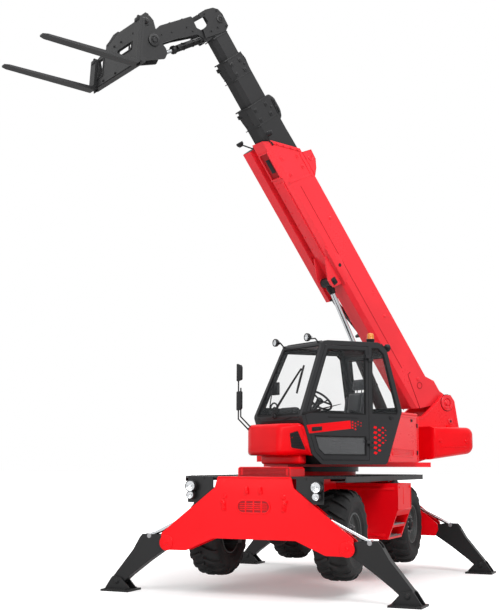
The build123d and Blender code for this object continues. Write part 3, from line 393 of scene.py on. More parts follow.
floor_mesh = bmesh.new()
bmesh.ops.create_grid(floor_mesh, x_segments=1, y_segments=1, size=150)
floor_data = bpy.data.meshes.new("floor")
floor_mesh.to_mesh(floor_data)
floor_mesh.free()
floor = bpy.data.objects.new("floor", floor_data)
bpy.context.scene.collection.objects.link(floor)
white = bpy.data.materials.new("white_floor")
white.use_nodes = True
nodes = white.node_tree.nodes
nodes["Principled BSDF"].inputs["Base Color"].default_value = (0.86, 0.86, 0.86, 1)
nodes["Principled BSDF"].inputs["Roughness"].default_value = 0.9
nodes["Principled BSDF"].inputs["Specular IOR Level"].default_value = 0.1
ray = nodes.new("ShaderNodeLightPath")
white.node_tree.links.new(ray.outputs["Is Camera Ray"], nodes["Principled BSDF"].inputs["Emission Strength"])
here = nodes.new("ShaderNodeTexCoord")
distance = nodes.new("ShaderNodeVectorMath")
distance.operation = "LENGTH"
glow = nodes.new("ShaderNodeMapRange")  # painted shade: the glow is faint near the machine, darkening the floor round it so its shadow shows; full farther out
glow.interpolation_type = "SMOOTHSTEP"
for socket, value in {"From Min": 2.2, "From Max": 6.5, "To Min": 0.20, "To Max": 1.0}.items():
    glow.inputs[socket].default_value = value
white.node_tree.links.new(here.outputs["Object"], distance.inputs[0])
white.node_tree.links.new(distance.outputs["Value"], glow.inputs["Value"])
white.node_tree.links.new(glow.outputs[0], nodes["Principled BSDF"].inputs["Emission Color"])
floor.data.materials.append(white)

# %% [markdown]
# ## Making pieces
# A piece is put together from a few simple shapes. Each shape is a small bmesh made by an operator and
# finished by a bevel; `Piece` collects them, places them with a matrix, and at the end makes one object
# at the origin that rides on a CAD body.


# %% Shapes
def block(low, high, rounding=0.0, segments=2):
    """A box between two corners, its edges rounded."""
    low, high = Vector(low), Vector(high)
    shape = bmesh.new()
    size = Matrix.Diagonal((*(high - low), 1))
    bmesh.ops.create_cube(shape, size=1, matrix=Matrix.Translation((low + high) / 2) @ size)
    return rounded(shape, rounding, segments)


def rounded(shape, rounding, segments=2, edges=None):
    if rounding:
        bmesh.ops.bevel(
            shape,
            geom=edges or list(shape.edges),
            offset=rounding,
            segments=segments,
            profile=0.5,
            affect="EDGES",
            material=-1,
            clamp_overlap=True,
        )
    return shape


def plate(points, thickness, rounding=0.0, corner=0.0):
    """A flat outline in XY, thick along +Z; corner rounds the outline, rounding its two rims."""
    shape = bmesh.new()
    face = shape.faces.new([shape.verts.new((x, y, 0)) for x, y in points])
    if corner:
        bmesh.ops.bevel(
            shape, geom=list(shape.verts), offset=corner, segments=4, profile=0.5, affect="VERTICES",
                material=-1
        )
        face = next(iter(shape.faces))
    pushed = bmesh.ops.extrude_face_region(shape, geom=[face])
    risen = [v for v in pushed["geom"] if isinstance(v, bmesh.types.BMVert)]
    bmesh.ops.translate(shape, verts=risen, vec=(0, 0, thickness))
    bmesh.ops.recalc_face_normals(shape, faces=shape.faces)
    rims = [e for e in shape.edges if abs(e.verts[0].co.z - e.verts[1].co.z) < 1e-7]
    return rounded(shape, rounding, 2, rims)


def turned(profile, steps=48):
    """A profile of (radius, height) turned about the Z axis."""
    shape = bmesh.new()
    corners = [shape.verts.new((radius, 0, height)) for radius, height in profile]
    edges = [shape.edges.new(pair) for pair in zip(corners, corners[1:])]
    bmesh.ops.spin(
        shape, geom=corners + edges, cent=(0, 0, 0), axis=(0, 0, 1), angle=2 * pi, steps=steps, use_merge=True
    )
    bmesh.ops.remove_doubles(shape, verts=shape.verts, dist=1e-6)
    bmesh.ops.recalc_face_normals(shape, faces=shape.faces)
    return shape


def ring(radius, thick, steps=48, sides=10):
    """A round bar bent to a ring about the Z axis."""
    bar = [(radius + thick * cos(a), thick * sin(a)) for a in (2 * pi * i / sides for i in range(sides + 1))]
    return turned(bar, steps)


def hexagon_bolt(across):
    """A bolt's head on its washer, standing up along +Z."""
    shape = turned([(0, 0), (across * 0.72, 0), (across * 0.72, across * 0.12), (0, across * 0.12)], 16)
    head = Matrix.Translation((0, 0, across * 0.38))
    bmesh.ops.create_cone(
        shape, cap_ends=True, segments=6, radius1=across * 0.56, radius2=across * 0.5, depth=across * 0.52,
            matrix=head
    )
    return shape


def pipe(points, radius, smooth=True, sides=6):
    """A round hose or tube through points, as a mesh."""
    curve = bpy.data.curves.new("run", "CURVE")
    curve.dimensions = "3D"
    curve.bevel_depth = radius
    curve.bevel_resolution = sides // 2
    curve.use_fill_caps = True
    spline = curve.splines.new("NURBS" if smooth else "POLY")
    spline.points.add(len(points) - 1)
    for knot, point in zip(spline.points, points):
        knot.co = (*point, 1)
    spline.use_endpoint_u = True
    spline.order_u = 3
    spline.resolution_u = 8
    thread = bpy.data.objects.new("run", curve)
    shape = bmesh.new()
    data = bpy.data.meshes.new_from_object(thread)
    shape.from_mesh(data)
    bpy.data.objects.remove(thread)
    bpy.data.meshes.remove(data)
    bpy.data.curves.remove(curve)
    return shape


def move(x=0.0, y=0.0, z=0.0):
    return Matrix.Translation((x, y, z))


def turn(degrees, axis):
    return Matrix.Rotation(radians(degrees), 4, axis)


def seen_from(point, along, up):
    """A drawing plane: local X runs along one direction, Y up another, Z out of the surface."""
    along, up = Vector(along).normalized(), Vector(up).normalized()
    out = along.cross(up)
    return Matrix.Translation(point) @ Matrix((along, up, out)).transposed().to_4x4()


def border(points, width, thickness, corner=0.0, rounding=0.0):
    """A flat ring that follows an outline in XY, as wide as width, thick along +Z."""
    shape = bmesh.new()
    face = shape.faces.new([shape.verts.new((x, y, 0)) for x, y in points])
    if face.normal.z < 0:
        face.normal_flip()
    if corner:
        bmesh.ops.bevel(
            shape, geom=list(shape.verts), offset=corner, segments=5, profile=0.5, affect="VERTICES",
                material=-1
        )
    shape.faces.ensure_lookup_table()
    inner = shape.faces[0]
    bmesh.ops.inset_region(shape, faces=[inner], thickness=width, use_boundary=True, use_even_offset=True)
    bmesh.ops.delete(shape, geom=[inner], context="FACES")
    pushed = bmesh.ops.extrude_face_region(shape, geom=list(shape.faces))
    risen = [v for v in pushed["geom"] if isinstance(v, bmesh.types.BMVert)]
    bmesh.ops.translate(shape, verts=risen, vec=(0, 0, thickness))
    bmesh.ops.recalc_face_normals(shape, faces=shape.faces)
    rims = [e for e in shape.edges if abs(e.verts[0].co.z - e.verts[1].co.z) < 1e-7 and e.verts[0].co.z > 1e-6]
    return rounded(shape, rounding, 2, rims)


def cap(radius, height, step=0.7):
    """A turned pin end: a round plate with a smaller one on it and chamfered rims."""
    soft = min(height, radius) * 0.25
    low = height * 0.45
    return turned(
        [
            (0, 0),
            (radius, 0),
            (radius, low - soft),
            (radius - soft, low),
            (radius * step, low),
            (radius * step, height - soft),
            (radius * step - soft, height),
            (0, height),
        ],
        28,
    )


def spots(count, radius, phase=0.0):
    """Places round a circle in XY, each turned to face outwards."""
    return [turn(phase + 360 * i / count, "Z") @ move(radius, 0, 0) for i in range(count)]


OUT_X = turn(90, "Y")  # +Z turned to +X
OUT_Y = turn(-90, "X")  # +Z turned to +Y


class Piece:
    """Simple shapes collected into one mesh, in one of the machine's frames."""

    def __init__(self, within=CHASSIS):
        self.mesh = bmesh.new()
        self.within = within

    def add(self, shape, place=Matrix.Identity(4)):
        shape.transform(place)
        if place.determinant() < 0:
            bmesh.ops.reverse_faces(shape, faces=shape.faces)
        data = bpy.data.meshes.new("shape")
        shape.to_mesh(data)
        shape.free()
        self.mesh.from_mesh(data)
        bpy.data.meshes.remove(data)
        return self

    def mirrored(self, axis):
        """Adds the mirror image across the plane through the origin."""
        data = bpy.data.meshes.new("shape")
        self.mesh.to_mesh(data)
        twin = bmesh.new()
        twin.from_mesh(data)
        bpy.data.meshes.remove(data)
        flip = Matrix.Scale(-1, 4, axis)
        return self.add(twin, flip)

    def finish(self, name, finish, body, sharp=35):
        """Makes the object: at the origin, smooth but for its sharp edges, riding on a CAD body."""
        self.mesh.transform(self.within)
        data = bpy.data.meshes.new(name)
        self.mesh.to_mesh(data)
        self.mesh.free()
        data.shade_smooth()
        data.set_sharp_from_angle(angle=radians(sharp))
        data.materials.append(finish.material)
        piece = bpy.data.objects.new(name, data)
        bpy.context.scene.collection.objects.link(piece)
        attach(piece, body)
        print(name, len(data.polygons), "faces")
        return piece


# %% [markdown]
# ## Tyres
# Wide earth-moving tyres: a carcass with a bulged side wall, and two rows of slanting bars that start
# near the middle and run out over the shoulder, the left row half a step ahead of the right. The
# carcass is a turned profile. One bar is a grid bent round the wheel by moving its vertices, and spin
# makes the other bars of its row.

# %% Tyre
BARS = 20
CARCASS = [
    (0.287, 0.185), (0.300, 0.196), (0.318, 0.199), (0.322, 0.206), (0.334, 0.206), (0.338, 0.212),
    (0.372, 0.219), (0.410, 0.2235), (0.416, 0.2250), (0.430, 0.2250), (0.436, 0.2235), (0.470, 0.2180),
    (0.500, 0.2080), (0.522, 0.1900), (0.536, 0.1600), (0.545, 0.1000), (0.548, 0.0000),
]
BAR_PATH = [(0.582, 0.006), (0.5815, 0.060), (0.580, 0.110), (0.572, 0.145), (0.556, 0.180), (0.530, 0.2035),
            (0.500, 0.2165)]
BAR_LEAN = [0.000, 0.050, 0.098, 0.128, 0.150, 0.162, 0.166]


def tread_bar():
    """One bar: a grid whose length follows the crown and shoulder, thick towards the axle."""
    shape = bmesh.new()
    steps = len(BAR_PATH) - 1
    bmesh.ops.create_grid(shape, x_segments=steps, y_segments=2, size=1)
    pushed = bmesh.ops.extrude_face_region(shape, geom=list(shape.faces))
    top = [v for v in pushed["geom"] if isinstance(v, bmesh.types.BMVert)]
    raised = set(top)
    for vertex in shape.verts:
        along = (vertex.co.x + 1) / 2 * steps
        radius, out = BAR_PATH[round(along)]
        angle = BAR_LEAN[round(along)]
        width = 0.036 + 0.012 * along / steps
        if vertex not in raised:
            radius, width = radius - 0.042, width + 0.012
            out -= 0.010 if along > 3.5 else 0
        swing = angle + vertex.co.y * width / 2 / radius
        vertex.co = (radius * sin(swing), out, radius * cos(swing))
    bmesh.ops.recalc_face_normals(shape, faces=shape.faces)
    return shape


def tyre(name, end, side):
    """Carcass and both rows of bars, about the wheel's own middle."""
    wheel = move(end * WHEEL_X, side * WHEEL_Y, WHEEL_Z)
    piece = Piece(wheel)
    outline = [(r, y) for r, y in CARCASS] + [(r, -y) for r, y in reversed(CARCASS[:-1])]
    piece.add(turned(outline, 80), OUT_Y)
    for row in (1, -1):
        bars = tread_bar()
        bmesh.ops.spin(
            bars,
            geom=bars.verts[:] + bars.edges[:] + bars.faces[:],
            cent=(0, 0, 0),
            axis=(0, 1, 0),
            angle=2 * pi,
            steps=BARS,
            use_duplicate=True,
        )
        flip = Matrix.Scale(row, 4, (0, 1, 0))
        piece.add(bars, flip @ turn(0 if row > 0 else 360 / BARS / 2, "Y"))
    made = piece.finish("tyre_tread_" + name, rubber, "wheel_" + name, 40)
    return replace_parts(made, "tyre_" + name)


for name, (end, side) in CORNERS.items():
    tyre(name, end, side)

# %% [markdown]
# ## Wheels
# On a heavy wheel the disc sits deep inside the rim, held by ten nuts on studs, and the planetary hub
# sticks out through it with its own ring of bolts and an oil plug. Raised rings mark the flanges, in the
# rim's own grey. Each part is a turned profile, and the nuts are one small bolt placed round a circle.

# %% Hubs and nuts
def wheel_trim(name, end, side):
    """Hub, nuts and flange rings of one wheel, drawn with +Z pointing out of the machine."""
    out = turn(-90 * side, "X")
    centre = move(end * WHEEL_X, side * WHEEL_Y, WHEEL_Z) @ out
    hub = Piece(centre)
    hub.add(turned([(0, 0.196), (0.030, 0.196), (0.034, 0.190), (0.060, 0.186), (0.072, 0.176),
        (0.078, 0.150),
                    (0.096, 0.148), (0.100, 0.140), (0.100, 0.120), (0, 0.120)], 40))
    for place in spots(8, 0.087, 10):
        hub.add(hexagon_bolt(0.016), move(0, 0, 0.147) @ place)
    hub.add(cap(0.012, 0.012), move(0.045, 0, 0.186))
    hub.finish("hub_" + name, dark_paint, "wheel_" + name)
    nuts = Piece(centre)
    for place in spots(10, 0.122, 18):
        nuts.add(hexagon_bolt(0.030), move(0, 0, 0.136) @ place)
        nuts.add(turned([(0, 0), (0.010, 0), (0.010, 0.030), (0.007, 0.033), (0, 0.033)], 12),
            move(0, 0, 0.136) @ place)
    nuts.finish("wheel_nuts_" + name, steel, "wheel_" + name)
    flanges = Piece(centre)
    flanges.add(ring(0.276, 0.0105, 64, 10), move(0, 0, 0.186))
    flanges.add(ring(0.262, 0.006, 64, 8), move(0, 0, 0.165))
    flanges.add(ring(0.206, 0.006, 56, 8), move(0, 0, 0.101))
    flanges.add(ring(0.276, 0.0105, 64, 10), move(0, 0, -0.186))
    flanges.add(cap(0.007, 0.05, 0.6), turn(24, "Z") @ move(0.236, 0, 0.115))
    flanges.finish("rim_flanges_" + name, rim_grey, "wheel_" + name)


for name, (end, side) in CORNERS.items():
    wheel_trim(name, end, side)

# %% [markdown]
# ## Stabiliser beams
# The front and rear plates carry a cast grille with slots, two lifting eyes, bolted leg housings and the
# round caps of the leg pins. They are drawn on the plate's own face, as on a workshop drawing, and one
# matrix stands the drawing up on the front plate and another on the rear.

# %% Grille, eyes and bolts
BEAM_FACE = 2.250


def stadium(half_width, half_height):
    return [(-half_width, -half_height), (half_width, -half_height), (half_width, half_height),
        (-half_width, half_height)]


def beam_trim(end_name, end):
    face = seen_from((end * BEAM_FACE, 0, 0), (0, end, 0), (0, 0, 1))
    red = Piece(face)
    centre = move(0, 1.125, 0)
    red.add(border(stadium(0.232, 0.090), 0.020, 0.010, 0.088, 0.004), centre)
    for across in (-0.107, 0.0, 0.107):
        red.add(block((-0.010, -0.078, 0), (0.010, 0.078, 0.008), 0.003), centre @ move(across, 0, 0))
    for level in (-0.036, -0.012, 0.012, 0.036):
        red.add(block((-0.190, -0.006, 0), (0.190, 0.006, 0.007), 0.002), centre @ move(0, level, 0))
    for across in (-0.092, 0.092):
        eye = plate([(-0.020, -0.045), (0.020, -0.045), (0.020, 0.045), (-0.020, 0.045)], 0.026, 0.004, 0.018)
        red.add(eye, move(across, 1.325, 0))
        red.add(cap(0.017, 0.014), move(across + 0.014, 1.300, 0.020))
    for side in (-1, 1):
        elbow = [(-0.030, -0.070), (0.026, -0.070), (0.030, 0.010), (0.060, 0.050), (0.030, 0.080),
            (-0.020, 0.060)]
        elbow = [(side * x, y) for x, y in elbow]
        red.add(plate(elbow[::side], 0.012, 0.004, 0.012), move(side * 0.410, 1.135, 0))
        for x, y in ((0.0, -0.045), (0.0, 0.010), (0.030, 0.050)):
            red.add(hexagon_bolt(0.026), move(side * (0.410 + x), 1.135 + y, 0.010))
        red.add(turned([(0, 0), (0.098, 0), (0.098, 0.006), (0.092, 0.012), (0.060, 0.014), (0, 0.014)], 44),
                move(side * 1.227, 0.642, 0))
        red.add(cap(0.030, 0.014), move(side * 1.227, 0.642, 0.012))
        for place in spots(3, 0.070, 90):
            red.add(hexagon_bolt(0.014), move(side * 1.227, 0.642, 0.011) @ place)
        red.add(cap(0.034, 0.014), move(side * 0.400, 1.250, 0))
    red.add(block((-0.49, 1.478, -0.004), (0.49, 1.500, 0.008), 0.004))
    red.finish("beam_fittings_" + end_name, red_paint, "chassis")
    # a dark plate behind the grille's slots: painted shade for the depth of the slots
    dark = Piece(face)
    dark.add(plate(stadium(0.215, 0.072), 0.0035, 0, 0.070), centre)
    dark.finish("grille_slot_shade_" + end_name, dark_red, "chassis")


beam_trim("front", 1)
beam_trim("rear", -1)

# %% Leg pins, ram glands and feet
LEG_MIDDLE = 2.153
for name, (end, side) in CORNERS.items():
    across = Matrix.Scale(side, 4, (0, 1, 0)) @ move(end * LEG_MIDDLE, 0, 0)
    pins = Piece(across)
    for turned_way in (-1, 1):
        out = turn(90 * turned_way, "Y")
        pins.add(cap(0.030, 0.004), move(turned_way * 0.065, 1.500, 0.722) @ out)
    pins.finish("leg_pins_" + name, steel, "leg_" + name)
    foot_trim = Piece(across)
    for turned_way in (-1, 1):
        out = turn(90 * turned_way, "Y")
        foot_trim.add(cap(0.040, 0.020), move(turned_way * 0.091, 1.960, 0.130) @ out)
        foot_trim.add(block((turned_way * 0.125 - 0.006, 1.78, 0.024),
            (turned_way * 0.125 + 0.006, 2.11, 0.034), 0.002))
        for y in (1.80, 2.10):
            foot_trim.add(hexagon_bolt(0.022), move(turned_way * 0.150, y, 0.024))
    foot_trim.finish("foot_pins_" + name, dark_paint, "foot_" + name)
    ram = Vector((0, 1.500 - 0.400, 0.722 - 1.250)).normalized()
    mouth = Vector((0, 0.400, 1.250)) + ram * 0.640
    towards_eye = ram.to_track_quat("Z", "X").to_matrix().to_4x4()
    gland = Piece(across)
    gland.add(turned([(0.026, 0.012), (0.034, 0.012), (0.038, 0.008), (0.050, 0.002), (0.053, -0.004),
        (0.053, -0.044),
                      (0.046, -0.047)], 32), Matrix.Translation(mouth) @ towards_eye)
    for along in (0.09, 0.55):
        gland.add(block((-0.020, -0.016, 0), (0.020, 0.016, 0.022), 0.004),
                  Matrix.Translation(Vector((0, 0.400, 1.250)) + ram * along) @ towards_eye @ turn(90,
                      "X") @ turn(90, "Z")
                  @ move(0, 0, 0.042))
    gland.finish("leg_ram_gland_" + name, dark_paint, "leg_ram_barrel_" + name)

# %% [markdown]
# ## Headlamps
# Each corner of the front has a large lamp over a smaller one: a black shell, a chromed bowl and a glass
# front. Bowl and glass are turned profiles, the glass with the bulge that real lamp glass has.

# %% Headlamps
LAMP_FACE = 2.310


def round_lamp(reflector, glass, trim, place, radius):
    """Bowl, glass and rim of one lamp, +Z towards what it lights."""
    bowl = [(0, 0.001), (0.16 * radius, 0.001), (0.2 * radius, 0.004), (0.55 * radius, 0.008),
        (0.86 * radius, 0.018)]
    reflector.add(turned(bowl + [(0.92 * radius, 0.018), (0.92 * radius, 0.0)], 40), place)
    reflector.add(turned([(0, 0.004), (0.12 * radius, 0.006), (0.15 * radius, 0.012), (0, 0.017)], 20), place)
    glass.add(turned([(0, 0.028), (0.4 * radius, 0.026), (0.7 * radius, 0.023), (0.88 * radius, 0.018)], 40),
        place)
    trim.add(turned([(0.86 * radius, 0.018), (0.90 * radius, 0.024), (0.98 * radius, 0.022),
        (1.04 * radius, 0.010),
                     (1.04 * radius, -0.012), (0.9 * radius, -0.014)], 40), place)


reflectors, lamp_glass, lamp_rims = Piece(), Piece(), Piece()
for side in (-1, 1):
    for level, radius in ((1.375, 0.072), (1.262, 0.052)):
        round_lamp(reflectors, lamp_glass, lamp_rims, move(LAMP_FACE, side * 0.855, level) @ OUT_X, radius)
    for level in (1.19, 1.455):
        lamp_rims.add(hexagon_bolt(0.018), move(2.237, side * 0.70, level + 0.02) @ OUT_X)
    lamp_rims.add(block((2.236, side * 0.855 - 0.012, 1.31), (2.262, side * 0.855 + 0.012, 1.45), 0.004))
reflectors.finish("headlamp_bowls", chrome, "chassis")
lamp_rims.finish("headlamp_rims", plastic, "chassis")
lamp_glass.finish("headlamp_glass", clear_glass, "chassis")

# %% [markdown]
# ## Deck, tanks and steps
# The deck is checker plate, so its walking strips carry rows of small raised lozenges. The tanks between
# the wheels have flanged seams, a filler cap, and two grey treads with open holes to climb to the cab.

# %% Deck and tanks
deck_grip = Piece()
lozenge = [(-0.030, 0), (0, -0.008), (0.030, 0), (0, 0.008)]
for row in range(-5, 6):
    for x in range(-14, 15):
        place = move(x * 0.122 + (0.061 if row % 2 else 0), 0.86 + row * 0.045, 1.500)
        twist = turn(45 if (x + row) % 2 else -45, "Z")
        deck_grip.add(plate(lozenge, 0.004), place @ twist)
deck_grip.mirrored((0, 1, 0))
deck_grip.finish("deck_lozenges", dark_paint, "chassis")

seams = Piece()
for low, high in ((1.020, 1.040), (1.372, 1.395)):
    seams.add(block((-0.604, 1.262, low), (0.104, 1.276, high), 0.004))
seams.add(block((-0.604, 1.262, 1.03), (-0.585, 1.276, 1.39), 0.004))
seams.add(block((0.085, 1.262, 1.03), (0.104, 1.276, 1.39), 0.004))
seams.add(block((-0.20, 1.262, 1.10), (-0.19, 1.274, 1.34), 0.004))
for x in (-0.52, 0.02):
    seams.add(cap(0.018, 0.014), move(x, 1.268, 1.34) @ OUT_Y)
seams.mirrored((0, 1, 0))
seams.add(block((0.098, 0.42, 0.66), (0.108, 1.08, 0.70), 0.004))
seams.add(block((0.098, 0.42, 1.30), (0.108, 1.22, 1.34), 0.004))
seams.finish("tank_seams", red_paint, "chassis")

treads = Piece()
for level, out in ((0.650, 1.126), (0.815, 1.186)):
    treads.add(block((-0.55, 0.955, level), (0.05, out, level + 0.012), 0.003))
    treads.add(block((-0.55, out - 0.012, level - 0.014), (0.05, out, level + 0.016), 0.003))
    for column in range(12):
        for depth in (0.060, 0.115):
            stud = turned([(0.016, 0), (0.016, 0.006), (0.010, 0.009), (0.010, 0)], 12)
            treads.add(stud, move(-0.52 + column * 0.049, out - depth, level + 0.011))
treads.finish("step_treads", step_metal, "chassis")
filler = Piece()
filler.add(cap(0.055, 0.045, 0.75), move(-0.05, 1.19, 1.395))
filler.add(turned([(0.07, 0), (0.07, 0.006), (0.05, 0.010), (0, 0.010)], 32), move(-0.05, 1.19, 1.395))
filler.finish("tank_filler", plastic, "chassis")

# %% [markdown]
# ## Glazing seals and wiper
# Every pane is held by a black rubber seal. The seal is taken from the pane itself: a merged copy keeps
# only the faces that look out of the cab, their outline is inset by the seal's width, the middle is
# deleted, and the ring that is left is raised. So it fits the pane whatever its outline.

# %% Window seals
LOOKING_OUT = [(0.939, 0, 0.344), (0, 1, 0), (0, -0.981, 0.194), (-0.953, 0, 0.302)]


def seal_ring(node, out, width, rise):
    shape = bmesh.new()
    shape.from_mesh(frame["nodes"][node].data)
    bmesh.ops.remove_doubles(shape, verts=shape.verts, dist=1e-5)
    shape.normal_update()
    inner = [f for f in shape.faces if f.normal.dot(out) < 0.985]
    bmesh.ops.delete(shape, geom=inner, context="FACES")
    flat = {}
    for face in shape.faces:
        flat.setdefault(round(face.calc_center_median().dot(out), 2), []).append(face)
    if not flat:
        shape.free()
        return None
    top = max(flat)
    bmesh.ops.delete(shape, geom=[f for d, fs in flat.items() if d < top - 0.02 for f in fs], context="FACES")
    bmesh.ops.dissolve_limit(shape, angle_limit=0.02, verts=shape.verts, edges=shape.edges)
    panes = list(shape.faces)
    bmesh.ops.inset_region(shape, faces=panes, thickness=width, use_boundary=True, use_even_offset=True)
    bmesh.ops.delete(shape, geom=panes, context="FACES")
    pushed = bmesh.ops.extrude_face_region(shape, geom=list(shape.faces))
    risen = [v for v in pushed["geom"] if isinstance(v, bmesh.types.BMVert)]
    bmesh.ops.translate(shape, verts=risen, vec=out * rise)
    bmesh.ops.recalc_face_normals(shape, faces=shape.faces)
    return shape


for node, body in (("cab_glass", "turret"), ("door_glass", "door")):
    rings = Piece()
    for out in LOOKING_OUT:
        made = seal_ring(node, TURRET.to_3x3() @ Vector(out), 0.018, 0.011)
        if made:
            rings.add(made)
    rings.finish("seals_" + node, seal, body)

# %% Wiper and cab trim
glass_out = Vector((0.939, 0, 0.344))
screen = lambda x, y, z, lift: Vector((x, y, z)) + glass_out * lift
wiper = Piece(TURRET)
wiper.add(cap(0.030, 0.050), Matrix.Translation((1.080, 0.506, 2.290)) @ glass_out.to_track_quat("Z",
    "Y").to_matrix().to_4x4())
for shift in (-0.018, 0.018):
    start, end = screen(1.078, 0.506 + shift, 2.300, 0.045), screen(0.832, 0.820 + shift * 0.5, 2.940, 0.030)
    wiper.add(pipe([start, start.lerp(end, 0.5) + glass_out * 0.012, end], 0.0085))
tip, root = screen(0.815, 0.845, 2.985, 0.022), screen(0.966, 0.880, 2.598, 0.022)
wiper.add(pipe([tip, tip.lerp(root, 0.5) + glass_out * 0.014, root], 0.012))
wiper.add(pipe([tip + glass_out * -0.012, root + glass_out * -0.012], 0.005, smooth=False))
wiper.finish("windscreen_wiper", plastic, "turret")

cab_trim = Piece(TURRET)
cab_trim.add(block((1.040, 0.06, 2.235), (1.066, 1.04, 2.262), 0.006))
for y in (0.10, 1.00):
    cab_trim.add(block((1.046, y - 0.03, 2.27), (1.072, y + 0.03, 2.30), 0.006))
cab_trim.add(pipe([(0.67, 0.26, 3.318), (0.68, 0.55, 3.320), (0.67, 1.03, 3.318)], 0.013))
cab_trim.add(pipe([(0.62, 1.085, 3.322), (0.1, 1.090, 3.338), (-0.30, 1.085, 3.350)], 0.012))
for x in (-0.2, 0.1, 0.4):
    cab_trim.add(block((x - 0.10, 0.30, 3.335), (x + 0.10, 0.95, 3.352), 0.008))
cab_trim.finish("cab_gutters", plastic, "turret")

# %% [markdown]
# ## Door
# The door carries a red band that climbs to the rear and breaks up into dots, a black handle in its
# front end, and the quarter panel behind it has a field of red lozenges that shrink to the rear. On the
# real door this is cut vinyl film, so each shape is a very thin plate with the paint's own finish.

# %% Band, dots and lozenges
door_face = TURRET @ seen_from((0, 1.100, 0), (-1, 0, 0), (0, 0, 1))  # local X runs to the rear
band = Piece(door_face)
band.add(plate([(-0.99, 2.172), (-0.945, 2.062), (-0.22, 2.140), (-0.235, 2.250)], 0.002))
for column in range(4):
    for row in range(3 - column // 2):
        size = 0.019 - 0.003 * column
        x = -0.195 + 0.050 * column
        y = 2.235 - 0.040 * row - (0.020 if column % 2 else 0) + 0.004 * column
        if x < 0.02:
            band.add(plate([(-size, 0), (0, -size * 0.8), (size, 0), (0, size * 0.8)], 0.002),
                move(x, y - 0.005, 0))
band.finish("door_band", red_paint, "door")

lozenges = Piece(door_face)
for column, (across, size) in enumerate(((0.215, 0.036), (0.290, 0.031), (0.355, 0.024), (0.405, 0.015))):
    for row in range(6 - column):
        level = 2.165 - row * 0.070 - (0.035 if column % 2 else 0)
        leaning = [(-size, -size * 0.2), (size * 0.4, -size * 0.6), (size, size * 0.2),
            (-size * 0.4, size * 0.6)]
        lozenges.add(plate(leaning, 0.002, 0, size * 0.15), move(across, level, 0))
lozenges.finish("quarter_lozenges", red_paint, "turret")

handle = Piece(door_face)
handle.add(plate([(-0.905, 2.090), (-0.73, 2.106), (-0.73, 2.160), (-0.905, 2.146)], 0.006, 0.002, 0.008))
handle.add(block((-0.885, 2.100, 0.004), (-0.80, 2.142, 0.016), 0.005))
handle.add(cap(0.012, 0.012), move(-0.760, 2.132, 0.005))
handle.add(block((-0.62, 2.285, 0), (-0.10, 2.297, 0.010), 0.003))
handle.finish("door_handle", plastic, "door")

latch = Piece(door_face)
latch.add(cap(0.038, 0.018, 0.72), move(0.510, 2.312, 0))
latch.add(block((0.490, 2.304, 0.010), (0.560, 2.320, 0.022), 0.005))
for level in (1.92, 3.10):
    latch.add(block((0.126, level - 0.012, 0), (0.180, level + 0.052, 0.008), 0.003))
    for bolt in (0.0, 0.036):
        latch.add(hexagon_bolt(0.014), move(0.156, level + bolt, 0.008))
latch.finish("quarter_latch", plastic, "turret")

# %% [markdown]
# ## Lamps, beacon and mirrors
# Three round work lamps stand on bent stalks at the roof's corners, the amber beacon on a dark base, and
# two mirrors hang one over the other on a pair of thin arms. The CAD model has them as plain discs and
# boxes for their place and mass. Here shells, bowls and lenses are turned profiles and the arms are tubes.

# %% Roof lamps, beacon and mirrors
arms, lamp_bowls, lamp_fronts = Piece(TURRET), Piece(TURRET), Piece(TURRET)
SHELL = [(0, -0.036), (0.018, -0.036), (0.036, -0.031), (0.051, -0.013), (0.0555, 0.004), (0.0555, 0.024),
         (0.052, 0.029), (0.0495, 0.026), (0.0495, 0.006), (0, 0.006)]


def work_lamp(root, place, facing):
    """Shell, bowl and glass on a bent stalk, with the yoke that lets the lamp tip."""
    root, place = Vector(root), Vector(place)
    knee = root + Vector((facing * 0.060, 0, 0.055))
    yoke = place + Vector((facing * -0.030, 0, -0.020))
    arms.add(pipe([root, knee, yoke], 0.0105, smooth=False))
    arms.add(cap(0.024, 0.014), Matrix.Translation(root))
    out = Matrix.Translation(place) @ turn(90 * facing, "Y")
    arms.add(turned(SHELL, 40), out)
    arms.add(pipe([(0, -0.060, 0.004), (0, -0.058, -0.030), (0, 0.058, -0.030), (0, 0.060, 0.004)], 0.005,
        False), out)
    for side in (-1, 1):
        arms.add(cap(0.012, 0.010), out @ move(0, side * 0.054, 0.004) @ turn(-90 * side, "X"))
    for fin in (-0.020, 0.0, 0.020):
        arms.add(block((-0.026, fin - 0.002, -0.043), (0.026, fin + 0.002, -0.028), 0.001), out)
    round_lamp(lamp_bowls, lamp_fronts, arms, out @ move(0, 0, 0.006), 0.0485)


work_lamp((0.715, 0.225, 3.300), (0.885, 0.270, 3.350), 1)
work_lamp((0.700, 1.000, 3.300), (0.885, 1.000, 3.360), 1)
work_lamp((-0.400, 0.980, 3.300), (-0.560, 0.980, 3.310), -1)
lamp_bowls.finish("roof_lamp_bowls", chrome, "turret")
lamp_fronts.finish("roof_lamp_glass", clear_glass, "turret")

